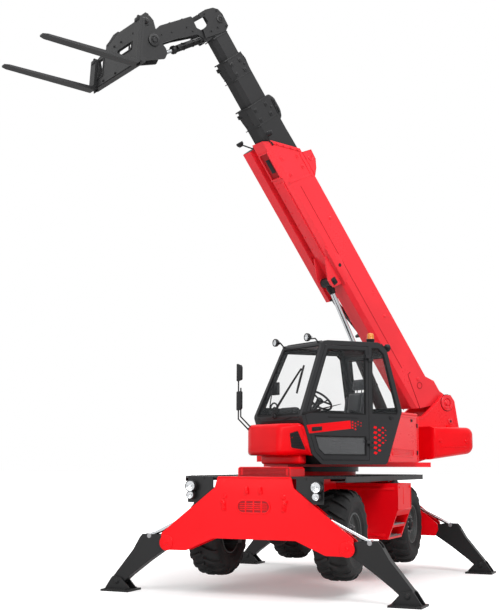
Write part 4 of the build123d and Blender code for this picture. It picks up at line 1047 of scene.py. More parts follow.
for y, lean in ((0.088, 0.0), (0.146, 0.03)):
    foot, elbow = (1.225, y, 2.125 + lean), (1.400, y, 2.272 + lean)
    arms.add(pipe([foot, elbow, (1.400, y, 3.020 if lean == 0 else 2.70)], 0.0105, smooth=False))
    arms.add(cap(0.020, 0.030), Matrix.Translation(foot))
mirror_back = seen_from((1.3815, 0, 0), (0, 1, 0), (0, 0, 1))
mirror_side = seen_from((1.3830, 0, 0), (0, -1, 0), (0, 0, 1))
mirrors = Piece(TURRET)
for low, high, slant in ((2.385, 2.655, 0.0), (2.790, 3.045, 0.045)):
    housing = [(0.062, low), (0.168, low + 0.02), (0.168, high - slant), (0.062, high)]
    arms.add(plate(housing, 0.040, 0.009, 0.020), mirror_back)
    glass = [(-0.160, low + 0.028), (-0.070, low + 0.010), (-0.070, high - 0.012),
        (-0.160, high - slant - 0.008)]
    mirrors.add(plate(glass, 0.004, 0.001, 0.014), mirror_side)
    for level in (low + 0.03, high - 0.05):
        arms.add(block((1.388, 0.078, level), (1.420, 0.156, level + 0.022), 0.005))
mirrors.finish("mirror_glass", chrome, "turret")

BEACON = move(-0.340, 0.880, 3.330)
arms.add(turned([(0, 0), (0.062, 0), (0.062, 0.010), (0.056, 0.016), (0.056, 0.080), (0.060, 0.086),
    (0.060, 0.100),
                 (0, 0.100)], 40), BEACON)
arms.add(pipe([(-0.34, 0.88, 3.342), (-0.27, 0.95, 3.345), (-0.24, 1.05, 3.335)], 0.006))
arms.finish("roof_fittings", plastic, "turret")
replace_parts(bpy.data.objects["roof_fittings"], "cab_fittings")
beacon = Piece(TURRET)
beacon.add(turned([(0, 0.098), (0.052, 0.098), (0.052, 0.104), (0.049, 0.108), (0.049, 0.155), (0.045, 0.172),
                   (0.034, 0.183), (0.016, 0.189), (0, 0.190)], 40), BEACON)
beacon.finish("beacon", amber, "turret")

# %% [markdown]
# ## Seat
# The operator's seat has a foam base and back with side bolsters and a separate head pad, sewn in cloth.
# Foam swells between its seams, so each cushion is a slightly small solid that is remeshed and blown up
# by a cloth simulation with the air pressure of a firm cushion, and then kept within a few millimetres of
# where it started. A shell, runners and a bellows below them are turned or bevelled hard parts.


# %% Cushions
def swollen(shape, cap_size=0.012):
    """A closed shape blown up like foam in a cover; no point moves more than cap_size."""
    data = bpy.data.meshes.new("pad")
    shape.to_mesh(data)
    shape.free()
    pad = bpy.data.objects.new("pad", data)
    bpy.context.scene.collection.objects.link(pad)
    remesh = pad.modifiers.new("remesh", "REMESH")
    remesh.mode = "VOXEL"
    remesh.voxel_size = 0.009
    layer = bpy.context.evaluated_depsgraph_get()
    even = bpy.data.meshes.new_from_object(pad.evaluated_get(layer))
    pad.modifiers.clear()
    pad.data = even
    start = [vertex.co.copy() for vertex in even.vertices]
    air = pad.modifiers.new("air", "CLOTH")
    air.settings.use_pressure = True
    air.settings.uniform_pressure_force = 4
    air.settings.effector_weights.gravity = 0
    air.point_cache.frame_start, air.point_cache.frame_end = 1, 20
    scene = bpy.context.scene
    for step in range(1, 21):
        scene.frame_set(step)
    blown = bpy.data.meshes.new_from_object(pad.evaluated_get(bpy.context.evaluated_depsgraph_get()))
    for vertex, before in zip(blown.vertices, start):
        moved = vertex.co - before
        vertex.co = before + moved * min(1, cap_size / max(moved.length, 1e-9))
    pad.modifiers.clear()
    pad.data = blown
    scene.frame_set(1)
    made = bmesh.new()
    made.from_mesh(pad.data)
    bpy.data.objects.remove(pad)
    bmesh.ops.smooth_vert(made, verts=made.verts, factor=0.5, use_axis_x=True, use_axis_y=True,
        use_axis_z=True)
    return made


base_pad = Piece(TURRET)
base_pad.add(swollen(block((-0.300, 0.395, 2.052), (0.112, 0.715, 2.112), 0.020, 3)))
for low, high in ((0.345, 0.402), (0.708, 0.765)):
    base_pad.add(swollen(block((-0.300, low, 2.052), (0.100, high, 2.124), 0.020, 3), 0.006))
base_pad.finish("seat_base", cloth, "turret", 60)
back_pad = Piece(TURRET)
leaning = move(-0.270, 0.555, 2.125) @ turn(-10, "Y")
back_pad.add(swollen(block((-0.032, -0.160, 0.010), (0.045, 0.160, 0.560), 0.022, 3)), leaning)
for low, high in ((-0.208, -0.152), (0.152, 0.208)):
    back_pad.add(swollen(block((-0.032, low, 0.02), (0.058, high, 0.50), 0.022, 3), 0.006), leaning)
back_pad.finish("seat_back", cloth, "turret", 60)
head_pad = Piece(TURRET)
head_pad.add(swollen(block((-0.030, -0.115, 0.605), (0.030, 0.115, 0.760), 0.020, 3), 0.008),
    leaning @ move(-0.004, 0, 0))
head_pad.finish("seat_head", cloth, "turret", 60)
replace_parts(bpy.data.objects["seat_base"], "seat")

seat_frame = Piece(TURRET)
seat_frame.add(block((-0.325, 0.335, 2.030), (0.110, 0.775, 2.058), 0.010, 3))
seat_frame.add(block((-0.052, -0.212, 0.0), (-0.028, 0.212, 0.575), 0.010, 3), leaning)
for side in (-1, 1):
    seat_frame.add(pipe([(-0.030, side * 0.05, 0.56), (-0.026, side * 0.05, 0.66)], 0.007, False), leaning)
    seat_frame.add(block((-0.04, side * 0.245 - 0.028, 0.205), (0.30, side * 0.245 + 0.028, 0.245), 0.014,
        3), leaning)
    seat_frame.add(cap(0.030, 0.020), leaning @ move(-0.01, side * 0.212, 0.21) @ turn(-90 * side, "X"))
for rib in range(7):
    level = 1.735 + rib * 0.040
    seat_frame.add(block((-0.235, 0.425, level), (0.055, 0.685, level + 0.030), 0.012, 3))
seat_frame.add(block((-0.215, 0.445, 1.70), (0.035, 0.665, 2.032), 0.006))
for y in (0.44, 0.67):
    seat_frame.add(block((-0.26, y - 0.018, 2.008), (0.08, y + 0.018, 2.032), 0.005))
seat_frame.add(pipe([(0.11, 0.47, 2.045), (0.135, 0.50, 2.040), (0.135, 0.61, 2.040), (0.11, 0.64, 2.045)],
    0.006))
seat_frame.finish("seat_shell", plastic, "turret")

# %% [markdown]
# ## Controls
# Behind the wheel stand a binnacle with its display and warning lamps, a hooded switch row, the pedals,
# and a joystick on each console. They show through the big panes, so their outlines count. Levers and
# gaiters are turned profiles, and the panels are bevelled blocks on the console's own slope.

# %% Dash, joysticks and pedals
slope = seen_from((0.868, 0.55, 2.298), (0, 1, 0), (-0.5, 0, 0.87))
controls = Piece(TURRET)
controls.add(block((-0.245, -0.05, -0.055), (0.245, 0.085, 0.0), 0.020, 3), slope @ move(0, 0, 0.03))
controls.add(block((-0.090, -0.02, 0.0), (0.090, 0.120, 0.028), 0.012, 3), slope @ move(0, 0, 0.03))
for i in range(6):
    controls.add(block((-0.225 + i * 0.022, 0.02, 0), (-0.207 + i * 0.022, 0.052, 0.010), 0.003),
        slope @ move(0, 0, 0.03))
    controls.add(block((0.112 + i * 0.020, 0.02, 0), (0.128 + i * 0.020, 0.052, 0.010), 0.003),
        slope @ move(0, 0, 0.03))
controls.add(block((0.800, 0.360, 2.270), (0.925, 0.740, 2.430), 0.050, 4))
controls.add(ring(0.085, 0.012, 32, 8), move(0.870, 0.200, 2.420) @ OUT_X)
controls.add(cap(0.035, 0.030), move(0.860, 0.200, 2.420) @ OUT_X)
controls.add(pipe([(0.870, 0.200, 2.335), (0.880, 0.200, 2.290)], 0.012))
STICK = [(0, 0), (0.045, 0), (0.043, 0.012), (0.030, 0.022), (0.033, 0.030), (0.022, 0.042), (0.024, 0.050),
    (0.012, 0.064),
         (0.011, 0.100), (0.019, 0.120), (0.022, 0.155), (0.020, 0.180), (0.012, 0.192), (0, 0.194)]
for x, y in ((0.26, 0.155), (0.36, 0.13)):
    controls.add(turned(STICK, 28), move(x, y, 2.180) @ turn(8, "Y"))
controls.add(block((-0.33, 0.075, 2.180), (0.12, 0.245, 2.235), 0.022, 3))
for i in range(5):
    controls.add(block((0.14, 0.085 + i * 0.030, 2.178), (0.20, 0.107 + i * 0.030, 2.190), 0.004))
for side in (-1, 1):
    stalk = [(0.400, 0.55 + side * 0.03, 2.47), (0.390, 0.55 + side * 0.12, 2.50),
        (0.375, 0.55 + side * 0.20, 2.53)]
    controls.add(pipe(stalk, 0.007))
    controls.add(turned([(0, 0), (0.010, 0.004), (0.010, 0.05), (0, 0.056)], 16),
        move(*stalk[-1]) @ turn(-80 * side, "X"))
for y in (0.40, 0.68):
    controls.add(pipe([(0.66, y, 1.92), (0.58, y, 1.84), (0.56, y, 1.80)], 0.010))
    controls.add(block((0.515, y - 0.045, 1.775), (0.600, y + 0.045, 1.790), 0.006))
controls.add(block((-0.35, 0.06, 1.700), (0.70, 1.04, 1.708), 0.003))
controls.add(pipe([(0.90, 0.12, 2.30), (0.86, 0.10, 2.62), (0.84, 0.13, 2.66)], 0.008))
controls.add(block((0.800, 0.095, 2.62), (0.835, 0.245, 2.80), 0.010, 3))
controls.finish("cab_controls", plastic, "turret")
display = Piece(TURRET @ slope)
display.add(block((-0.075, 0.0, 0.056), (0.075, 0.100, 0.060), 0.002))
display.finish("cab_display", pane, "turret")

# %% [markdown]
# ## Nose cowl
# The cowl below the windscreen is a moulded cover with soft corners all round, cut back at its left corner
# where a dark grille is let in. The CAD cowl has the same planes with small radii. Here its two outlines
# are bridged, and the outer edges get a wide bevel, wider than a rolled steel edge would have.

# %% Cowl and its grille
def cowl():
    shape = bmesh.new()
    rims = []
    for step in range(4):
        rise = step / 3
        back, corner = 0.852 + 0.158 * rise, 0.915 + 0.195 * rise
        plan = [(back, 0.020), (1.200, 0.020), (1.260, 0.150)]
        plan += [(1.260 + (corner - 1.260) * k / 3, 0.830 + 0.260 * k / 3) for k in range(4)] + [(back,
            1.090)]
        corners = [shape.verts.new((x, y, 1.772 + 0.423 * rise)) for x, y in plan]
        rims.append([shape.edges.new(pair) for pair in zip(corners, corners[1:] + corners[:1])])
    for low, high in zip(rims, rims[1:]):
        bmesh.ops.bridge_loops(shape, edges=low + high)
    for rim in (rims[0], rims[-1]):
        bmesh.ops.contextual_create(shape, geom=rim)
    bmesh.ops.recalc_face_normals(shape, faces=shape.faces)
    seen = [e for e in shape.edges
            if min(v.co.x for v in e.verts) > 0.905 or (e.verts[0].co - e.verts[1].co).length > 1]
    sharp = [e for e in seen if e.calc_face_angle(0) > radians(20)]
    bmesh.ops.bevel(
        shape, geom=sharp, offset=0.066, segments=6, profile=0.5, affect="EDGES", material=-1,
            clamp_overlap=False
    )
    return shape


front = Piece(TURRET)
front.add(cowl())
front.add(block((0.880, 0.060, 1.655), (1.000, 0.960, 1.785), 0.030, 3))
front.finish("nose_cowl", red_paint, "turret", 50)
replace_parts(bpy.data.objects["nose_cowl"], "nose")

LOW_FRONT, LOW_REAR = Vector((1.260, 0.830, 1.772)), Vector((0.915, 1.090, 1.772))
HIGH_FRONT, HIGH_REAR = Vector((1.260, 0.830, 2.195)), Vector((1.110, 1.090, 2.195))


def on_chamfer(shape):
    """Bends a flat piece onto the cowl's cut-back corner: x runs 0 to 1 to the rear, y 0 to 1 upwards."""
    for vertex in shape.verts:
        low = LOW_FRONT.lerp(LOW_REAR, vertex.co.x)
        high = HIGH_FRONT.lerp(HIGH_REAR, vertex.co.x)
        across = LOW_REAR.lerp(HIGH_REAR, vertex.co.y) - LOW_FRONT.lerp(HIGH_FRONT, vertex.co.y)
        out = across.cross(high - low).normalized()
        vertex.co = low.lerp(high, vertex.co.y) - out * vertex.co.z * (1 if out.x < 0 else -1)
    bmesh.ops.recalc_face_normals(shape, faces=shape.faces)
    return shape


grille_outline = [(0.44, 0.24), (0.90, 0.17), (0.84, 0.76), (0.48, 0.68)]
grille, grille_edge = Piece(TURRET), Piece(TURRET)
grille.add(on_chamfer(plate(grille_outline, 0.006, 0, 0.05)))
for slat in range(9):
    level = 0.27 + slat * 0.050
    bar_shape = block((0.49, level, 0.004), (0.845 - abs(level - 0.25) * 0.02, level + 0.020, 0.012), 0.002,
        1)
    grille.add(on_chamfer(bar_shape))
grille.finish("nose_grille", plastic, "turret")
grille_edge.add(on_chamfer(border([(0.42, 0.21), (0.93, 0.13), (0.86, 0.80), (0.46, 0.72)], 0.022, 0.008,
    0.05, 0.002)))
grille_edge.finish("nose_grille_edge", red_paint, "turret")

# %% [markdown]
# ## Covers, hood and counterweight
# Sheet-metal covers have louvres, hinges, catches and folded edges, and the cast counterweight has its
# bolts, two lifting eyes and the tail lamps. Each face gets its own drawing plane, so a row of louvres is
# the same few lines wherever it stands.


# %% Louvres and catches
def louvres(piece, face, left, right, low, high, pitch=0.034):
    """A framed field of pressed slats on one face."""
    outline = [(left - 0.02, low - 0.02), (right + 0.02, low - 0.02), (right + 0.02, high + 0.02),
        (left - 0.02, high + 0.02)]
    piece.add(border(outline, 0.010, 0.006, 0.016, 0.002), face)
    for i in range(int((high - low) / pitch)):
        slat = block((left, 0, 0), (right, pitch * 0.55, 0.010), 0.003)
        piece.add(slat, face @ move(0, low + i * pitch + 0.004, 0) @ turn(-14, "X"))


def catch(piece, face, x, y):
    piece.add(plate([(x - 0.030, y - 0.020), (x + 0.030, y - 0.020), (x + 0.030, y + 0.020),
        (x - 0.030, y + 0.020)],
                    0.008, 0.003, 0.008), face)
    piece.add(cap(0.010, 0.008), face @ move(x + 0.010, y, 0.008))


side_face = TURRET @ seen_from((-0.50, 1.060, 0), (-0.9085, -0.4179, 0), (0, 0, 1))
rear_face = TURRET @ seen_from((-1.50, 0.600, 0), (0, -1, 0), (0, 0, 1))
cover = Piece()
oval = [(0.10, 1.775), (0.92, 1.760), (0.92, 1.880), (0.10, 1.895)]
cover.add(border(oval, 0.014, 0.008, 0.055, 0.003), side_face)
for i in range(4):
    cover.add(block((0.15, 1.796 + i * 0.022, 0), (0.87, 1.806 + i * 0.022, 0.007), 0.002), side_face)
cover.add(border([(0.03, 1.705), (1.075, 1.705), (1.075, 2.350), (0.03, 2.350)], 0.010, 0.006, 0.030, 0.002),
    side_face)
cover.add(block((1.078, 1.70, -0.010), (1.100, 2.362, 0.010), 0.005), side_face)
louvres(cover, rear_face, 0.10, 0.50, 1.85, 2.25)
cover.add(border([(0.02, 1.705), (0.57, 1.705), (0.57, 2.350), (0.02, 2.350)], 0.010, 0.006, 0.030, 0.002),
    rear_face)
lid = [(-0.745, 0.020), (-0.745, 0.945), (-1.500, 0.598), (-1.500, 0.020)]
cover.add(plate(lid, 0.044, 0.016), TURRET @ move(0, 0, 2.369))
# the cover seams take the pinker red, painted sheen
cover.finish("cover_seams", pink_sheen_red, "turret")
catches = Piece()
for x in (0.20, 0.85):
    catch(catches, side_face, x, 2.300)
catch(catches, rear_face, 0.30, 2.315)
for level in (1.80, 2.20):
    catches.add(block((1.040, level, 0.004), (1.070, level + 0.06, 0.014), 0.004), side_face)

hood_right = TURRET @ seen_from((0, -1.120, 0), (1, 0, 0), (0, 0, 1))
hood_rear = TURRET @ seen_from((-1.800, 0, 0), (0, -1, 0), (0, 0, 1))
hood_front = TURRET @ seen_from((0.240, 0, 0), (0, 1, 0), (0, 0, 1))
hood_top = TURRET @ seen_from((0, 0, 2.300), (1, 0, 0), (0, 1, 0))
hood = Piece()
for start in (-1.70, -0.85):
    louvres(hood, hood_right, start + 0.06, start + 0.72, 1.86, 2.10)
    hood.add(border([(start, 1.71), (start + 0.80, 1.71), (start + 0.80, 2.20), (start, 2.20)], 0.010, 0.006,
        0.03, 0.002),
             hood_right)
    catch(catches, hood_right, start + 0.12, 2.155)
    catch(catches, hood_right, start + 0.68, 2.155)
louvres(hood, hood_rear, 0.76, 1.06, 1.80, 2.14)
louvres(hood, hood_front, -1.06, -0.76, 1.85, 2.10)
for x in (-1.35, -0.55):
    hood.add(border([(x - 0.28, -1.02), (x + 0.28, -1.02), (x + 0.28, -0.78), (x - 0.28, -0.78)], 0.012,
        0.008, 0.04, 0.003),
             hood_top)
    for i in range(7):
        hood.add(block((x - 0.22, -0.995 + i * 0.030, 0), (x + 0.22, -0.983 + i * 0.030, 0.006), 0.002),
            hood_top)
hood.finish("hood_panels", red_paint, "turret")
for x in (-1.45, -0.95, -0.35, 0.05):
    catches.add(block((x - 0.05, -0.735, 0.0), (x + 0.05, -0.700, 0.010), 0.004), hood_top)
for x in (-1.62, -0.10):
    run = [(x, -0.96, 2.296), (x, -0.96, 2.350), (x + 0.16, -0.96, 2.350), (x + 0.16, -0.96, 2.296)]
    catches.add(pipe(run, 0.010, smooth=False), TURRET)
catches.add(turned([(0, 0), (0.048, 0), (0.048, 0.07), (0.040, 0.10), (0.034, 0.10), (0.034, 0.02),
    (0, 0.02)], 32),
            TURRET @ move(-0.95, -0.84, 2.298))
catches.add(turned([(0, 0), (0.030, 0), (0.030, 0.02), (0.022, 0.03), (0, 0.03)], 24),
    TURRET @ move(0.10, -0.90, 2.298))
catches.finish("cover_catches", plastic, "turret")

# %% Counterweight and tail lamps
weight_rear = TURRET @ seen_from((-3.120, 0, 0), (0, -1, 0), (0, 0, 1))
weight_left = TURRET @ seen_from((0, 0.450, 0), (-1, 0, 0), (0, 0, 1))
weight_right = TURRET @ seen_from((0, -0.990, 0), (1, 0, 0), (0, 0, 1))


def casting():
    """The block itself: its plan risen between a sloping floor and a flat top, slotted for the ears and the
    boom's tail, and widely rounded outside."""
    rim = [(-1.990, -0.990), (-2.830, -0.990), (-3.120, -0.640), (-3.120, 0.100), (-2.830, 0.450),
        (-1.990, 0.450)]
    slot = [(-1.990, 0), (-3.000, 0), (-3.000, -0.540), (-1.990, -0.540)]
    shape = bmesh.new()
    floor = shape.faces.new([shape.verts.new((x, y, 1.735 + (-1.990 - x) * 0.115)) for x, y in rim + slot])
    pushed = bmesh.ops.extrude_face_region(shape, geom=[floor])
    for vertex in [v for v in pushed["geom"] if isinstance(v, bmesh.types.BMVert)]:
        vertex.co.z = 2.240
    bmesh.ops.recalc_face_normals(shape, faces=shape.faces)
    inner = {(round(x, 3), round(y, 3)) for x, y in slot}
    outer_edges = [e for e in shape.edges if not any((round(v.co.x, 3),
        round(v.co.y, 3)) in inner for v in e.verts)]
    bmesh.ops.bevel(
        shape, geom=outer_edges, offset=0.105, segments=7, profile=0.5, affect="EDGES", material=-1,
            clamp_overlap=True
    )
    return shape


block_piece = Piece(TURRET)
block_piece.add(casting())
block_piece.finish("counterweight_casting", red_paint, "turret", 60)
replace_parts(bpy.data.objects["counterweight_casting"], "counterweight")
weight = Piece()
for x in (0.19, 0.35):
    weight.add(cap(0.038, 0.016), weight_rear @ move(x, 1.985, -0.002))
    weight.add(hexagon_bolt(0.034), weight_rear @ move(x, 1.985, 0.008))
for x in (2.12, 2.68):
    weight.add(cap(0.034, 0.014), weight_left @ move(x, 2.02, 0))
    weight.add(cap(0.034, 0.014), weight_right @ move(-x, 2.02, 0))
weight.add(block((2.14, 1.930, -0.004), (2.66, 1.945, 0.008), 0.004), weight_left)
weight.add(block((-2.66, 1.930, -0.004), (-2.14, 1.945, 0.008), 0.004), weight_right)
for y in (-0.80, 0.26):
    eye = plate([(-0.055, 0), (0.055, 0), (0.055, 0.045), (-0.055, 0.045)], 0.022, 0.004, 0.020)
    weight.add(eye, TURRET @ move(-2.50, y, 2.236) @ turn(90, "X"))
weight.finish("counterweight_fittings", red_paint, "turret")

tail_shell, tail_glass = Piece(), Piece()
for x in (0.060, 0.480):
    tail_shell.add(block((x - 0.040, 1.955, 0), (x + 0.040, 2.105, 0.022), 0.008, 3), weight_rear)
    tail_glass.add(block((x - 0.032, 1.963, 0.018), (x + 0.032, 2.022, 0.030), 0.006, 3), weight_rear)
    tail_glass.add(block((x - 0.032, 2.030, 0.018), (x + 0.032, 2.097, 0.030), 0.006, 3), weight_rear)
tail_shell.finish("tail_lamp_shells", plastic, "turret")
tail_glass.finish("tail_lamp_glass", amber, "turret")

# %% [markdown]
# ## Ears
# The boom hangs between two thick plates. Each carries a welded boss round the hinge pin, a keeper plate
# with its bolts, an edge strip and holes for shipping. The strip follows the plate's own outline. The dark
# discs in the holes are painted shade, and a thin dark ring round the boss is painted shadow.

# %% Bosses, keeper plates, edges and painted shade
EAR = [(-1.32, 1.78), (-1.32, 2.15), (-1.72, 2.325), (-2.19, 2.385), (-2.50, 2.63), (-2.61, 2.745),
    (-2.80, 2.75),
       (-2.865, 2.66), (-2.945, 2.26)]
left_ear = TURRET @ seen_from((0, 0, 0), (-1, 0, 0), (0, 0, 1))
right_ear = TURRET @ seen_from((0, -0.540, 0), (1, 0, 0), (0, 0, 1))
ears, ear_shade = Piece(), Piece()
for face, side in ((left_ear, -1), (right_ear, 1)):
    at = lambda x, z: face @ move(side * x, z, 0)
    ears.add(turned([(0.072, 0), (0.128, 0), (0.128, 0.014), (0.120, 0.020), (0.076, 0.020), (0.072, 0.014),
        (0.072, 0)], 48),
             at(-2.720, 2.647))
    ears.add(turned([(0.020, 0), (0.052, 0), (0.052, 0.008), (0.046, 0.012), (0.020, 0.012), (0.020, 0)],
        36), at(-2.790, 2.350))
    ears.add(turned([(0.044, 0), (0.085, 0), (0.085, 0.010), (0.078, 0.014), (0.044, 0.014), (0.044, 0)],
        40), at(-1.920, 1.867))
    # a dark disc in the upper shipping hole: painted shade
    ear_shade.add(cap(0.030, 0.013), at(-2.790, 2.350))
    # a thin dark ring round the hinge boss: painted shadow where it meets the plate
    shadow = turned([(0.130, 0), (0.137, 0), (0.137, 0.004), (0.130, 0.004), (0.130, 0)], 48)
    ear_shade.add(shadow, at(-2.720, 2.647))
    ears.add(cap(0.050, 0.022, 0.8), face @ move(side * -2.720, 2.647, 0.010))
    keeper = plate([(-0.075, -0.022), (0.075, -0.022), (0.075, 0.022), (-0.075, 0.022)], 0.010, 0.003, 0.010)
    ears.add(keeper, face @ move(side * -2.720, 2.572, 0.018))
    for x in (-0.052, 0.052):
        ears.add(hexagon_bolt(0.024), face @ move(side * -2.720 + x, 2.572, 0.028))
    # a dark disc in the lower hole: painted shade
    ear_shade.add(cap(0.042, 0.012, 0.8), at(-1.920, 1.867))
    strip = [(side * x, z) for x, z in EAR]
    ears.add(border(strip if side > 0 else strip[::-1], 0.012, 0.005, 0.03, 0.001), face)
# the ears' bosses and strips take the paler red, painted sheen
ears.finish("ear_bosses", pale_sheen_red, "turret")
ear_shade.finish("ear_painted_shade", dark_paint, "turret")

ribs = Piece()
for level in range(5):
    ribs.add(block((1.898, -0.300, 1.520 + level * 0.017), (1.906, 0.300, 1.529 + level * 0.017), 0.002))
ribs.add(border([(-0.345, 1.505), (0.345, 1.505), (0.345, 1.612), (-0.345, 1.612)], 0.008, 0.005, 0.012,
    0.002),
         seen_from((1.900, 0, 0), (0, 1, 0), (0, 0, 1)))
ribs.finish("front_box_ribs", dark_red, "chassis")

# %% [markdown]
# ## Boom: outer section
# The outer section is a welded box. Its open end has a doubled rim with adjusting bolts for the slide
# pads, a hose guide stands on its back as a hump with pressed edges, its underside has a framed opening
# and a bolted cover, and two work lamps stand on arms at its end. Each side has a drawing plane.

# %% Rim, hump, cover and opening
left_side = BOOM @ seen_from((0, 0.190, 0), (-1, 0, 0), (0, 0, 1))  # local X runs down the boom
right_side = BOOM @ seen_from((0, -0.190, 0), (1, 0, 0), (0, 0, 1))
under = BOOM @ seen_from((0, 0, -0.585), (1, 0, 0), (0, -1, 0))
back = BOOM @ seen_from((0, 0, -0.060), (1, 0, 0), (0, 1, 0))
outer = Piece()
for face, way in ((left_side, -1), (right_side, 1)):
    rim = [(4.700, -0.080), (4.760, -0.080), (5.130, -0.520), (5.070, -0.520)]
    rim = [(way * x, z) for x, z in rim]
    outer.add(plate(rim if way > 0 else rim[::-1], 0.012, 0.003), face)
    for i in range(4):
        outer.add(hexagon_bolt(0.026), face @ move(way * (4.760 + 0.082 * i), -0.125 - 0.098 * i, 0.012))
    for x, z in ((4.50, -0.18), (4.50, -0.46), (4.68, -0.18), (4.78, -0.46)):
        pad = plate([(-0.034, -0.030), (0.034, -0.030), (0.034, 0.030), (-0.034, 0.030)], 0.008, 0.002, 0.010)
        outer.add(pad, face @ move(way * x, z, 0))
        outer.add(hexagon_bolt(0.022), face @ move(way * x, z, 0.007))
    hump = [(4.275, -0.062), (4.365, 0.028), (4.482, 0.102), (4.636, 0.112), (4.690, -0.062)]
    hump = [(way * x, z) for x, z in hump]
    lifted = face @ move(0, 0, 0.008)
    outer.add(border(hump if way > 0 else hump[::-1], 0.014, 0.007, 0.0, 0.002), lifted)
    outer.add(ring(0.040, 0.006, 32, 8), lifted @ move(way * 4.540, 0.030, 0.004))
    seam = [(way * 4.30, -0.090), (way * 4.34, -0.090), (way * 4.44, -0.555), (way * 4.40, -0.555)]
    outer.add(plate(seam if way > 0 else seam[::-1], 0.006, 0.002), face)
    doubler = [(2.62, -0.575), (2.72, -0.420), (3.05, -0.400), (3.30, -0.575)]
    doubler = [(way * x, z) for x, z in doubler]
    outer.add(plate(doubler if way > 0 else doubler[::-1], 0.010, 0.003, 0.02), face)
    outer.add(cap(0.034, 0.016), face @ move(way * 0.62, -0.22, 0))
    for x in (1.80, 3.60):
        outer.add(cap(0.026, 0.018), face @ move(way * x, -0.20, 0))
outer.add(plate([(3.02, -0.095), (4.46, -0.105), (4.46, 0.095), (3.02, 0.085)], 0.016, 0.004, 0.012), under)
for i in range(7):
    for y in (-0.078, 0.070):
        outer.add(hexagon_bolt(0.018), under @ move(3.10 + 0.215 * i, y, 0.015))
outer.add(border([(4.52, -0.130), (4.98, -0.130), (4.98, 0.110), (4.52, 0.110)], 0.022, 0.022, 0.012, 0.004),
    under)
outer.add(block((4.535, -0.118, 0), (4.555, 0.10, 0.045), 0.004), under)
for x in (1.10, 2.05):
    outer.add(turned([(0.030, 0), (0.055, 0), (0.055, 0.012), (0.048, 0.016), (0.030, 0.016), (0.030, 0)],
        32), back @ move(x, 0, 0))
    outer.add(ring(0.024, 0.007, 28, 8), back @ move(x, 0, 0.030) @ turn(90, "X"))
outer.add(block((0.80, -0.020, 0), (4.20, 0.020, 0.006), 0.002), back)
# the boom's trim takes the paler red, painted sheen
outer.finish("boom_trim", pale_sheen_red, "boom")

dark_boom = Piece()
# a dark plate inside the framed opening: painted shade for the hollow box seen through it
window = Piece(under)
window.add(plate([(4.56, -0.110), (4.955, -0.110), (4.955, 0.090), (4.56, 0.090)], 0.004, 0, 0.010))
window.finish("boom_opening_shade", dark_red, "boom")
dark_boom.add(block((4.64, -0.070, 0.002), (4.86, 0.020, 0.012), 0.004), under)
for side in (-1, 1):
    dark_boom.add(turned([(0, 0), (0.028, 0), (0.028, 0.004), (0, 0.004)], 28),
        (left_side if side > 0 else right_side)
                  @ move(-side * 2.92, -0.490, 0.009))
    pin_plate = plate([(-0.055, -0.045), (0.055, -0.045), (0.055, 0.045), (-0.055, 0.045)], 0.012, 0.003,
        0.018)
    dark_boom.add(pin_plate, BOOM @ move(2.765, side * 0.150, -0.700) @ turn(-90 * side, "X"))
    dark_boom.add(cap(0.042, 0.026), BOOM @ move(2.765, side * 0.150, -0.700) @ turn(-90 * side, "X"))
for low, high in ((2.405, 2.420), (5.065, 5.080)):
    dark_boom.add(block((low - 0.004, -0.384, -0.618), (high + 0.004, -0.210, -0.462), 0.006), BOOM)
for i in range(3):
    y = -0.245 - 0.048 * i
    dark_boom.add(pipe([(2.44, y, -0.530), (2.30, y, -0.540), (2.10, y + 0.04, -0.50),
        (1.66, y + 0.05, -0.43)], 0.014), BOOM)
for x in (1.66, 2.15):
    dark_boom.add(block((x - 0.02, -0.345, -0.46 - 0.02 * x), (x + 0.02, -0.190, -0.33 - 0.02 * x), 0.006),
        BOOM)
for level in (-0.60, -0.48):
    dark_boom.add(block((2.72, -0.398, level), (5.07, -0.390, level + 0.008), 0.002), BOOM)
dark_boom.finish("boom_dark_fittings", dark_paint, "boom")

seams_dark = Piece()
for face, way in ((left_side, -1), (right_side, 1)):
    line = [(way * 0.95, -0.405), (way * 4.28, -0.405), (way * 4.28, -0.398), (way * 0.95, -0.398)]
    seams_dark.add(plate(line if way > 0 else line[::-1], 0.003), face)
    weld = [(0.80, -0.295), (0.80, -0.350), (0.76, -0.368), (0.215, -0.480)]
    seams_dark.add(pipe([(way * x, z, 0.001) for x, z in weld], 0.006, smooth=False), face)
    seams_dark.add(ring(0.050, 0.005, 32, 6), face @ move(way * 0.52, -0.255, 0.002))
seams_dark.finish("boom_seams", dark_red, "boom")

boom_lamps, boom_bowls, boom_glass = Piece(BOOM), Piece(BOOM), Piece(BOOM)
for root, place in (
    ((5.090, -0.150, -0.575), (5.250, -0.290, -0.650)),
    ((5.050, 0.185, -0.500), (5.210, 0.262, -0.500)),
):
    root, place = Vector(root), Vector(place)
    bend = root.lerp(place, 0.5) + Vector((0.03, 0, -0.03))
    boom_lamps.add(pipe([root, bend, place], 0.011, smooth=False))
    boom_lamps.add(block(root - Vector((0.03, 0.008, 0.004)), root + Vector((0.03, 0.03, 0.012)), 0.004))
    aim = Matrix.Translation(place) @ Vector((1.0, -0.1, 0.05)).to_track_quat("Z", "Y").to_matrix().to_4x4()
    boom_lamps.add(turned([(r, z) for r, z in SHELL], 36), aim)
    for fin in (-0.020, 0.0, 0.020):
        boom_lamps.add(block((-0.026, fin - 0.002, -0.043), (0.026, fin + 0.002, -0.028), 0.001), aim)
    round_lamp(boom_bowls, boom_glass, boom_lamps, aim @ move(0, 0, 0.006), 0.0485)
boom_lamps.finish("boom_lamp_shells", plastic, "boom")
boom_bowls.finish("boom_lamp_bowls", chrome, "boom")
boom_glass.finish("boom_lamp_glass", clear_glass, "boom")

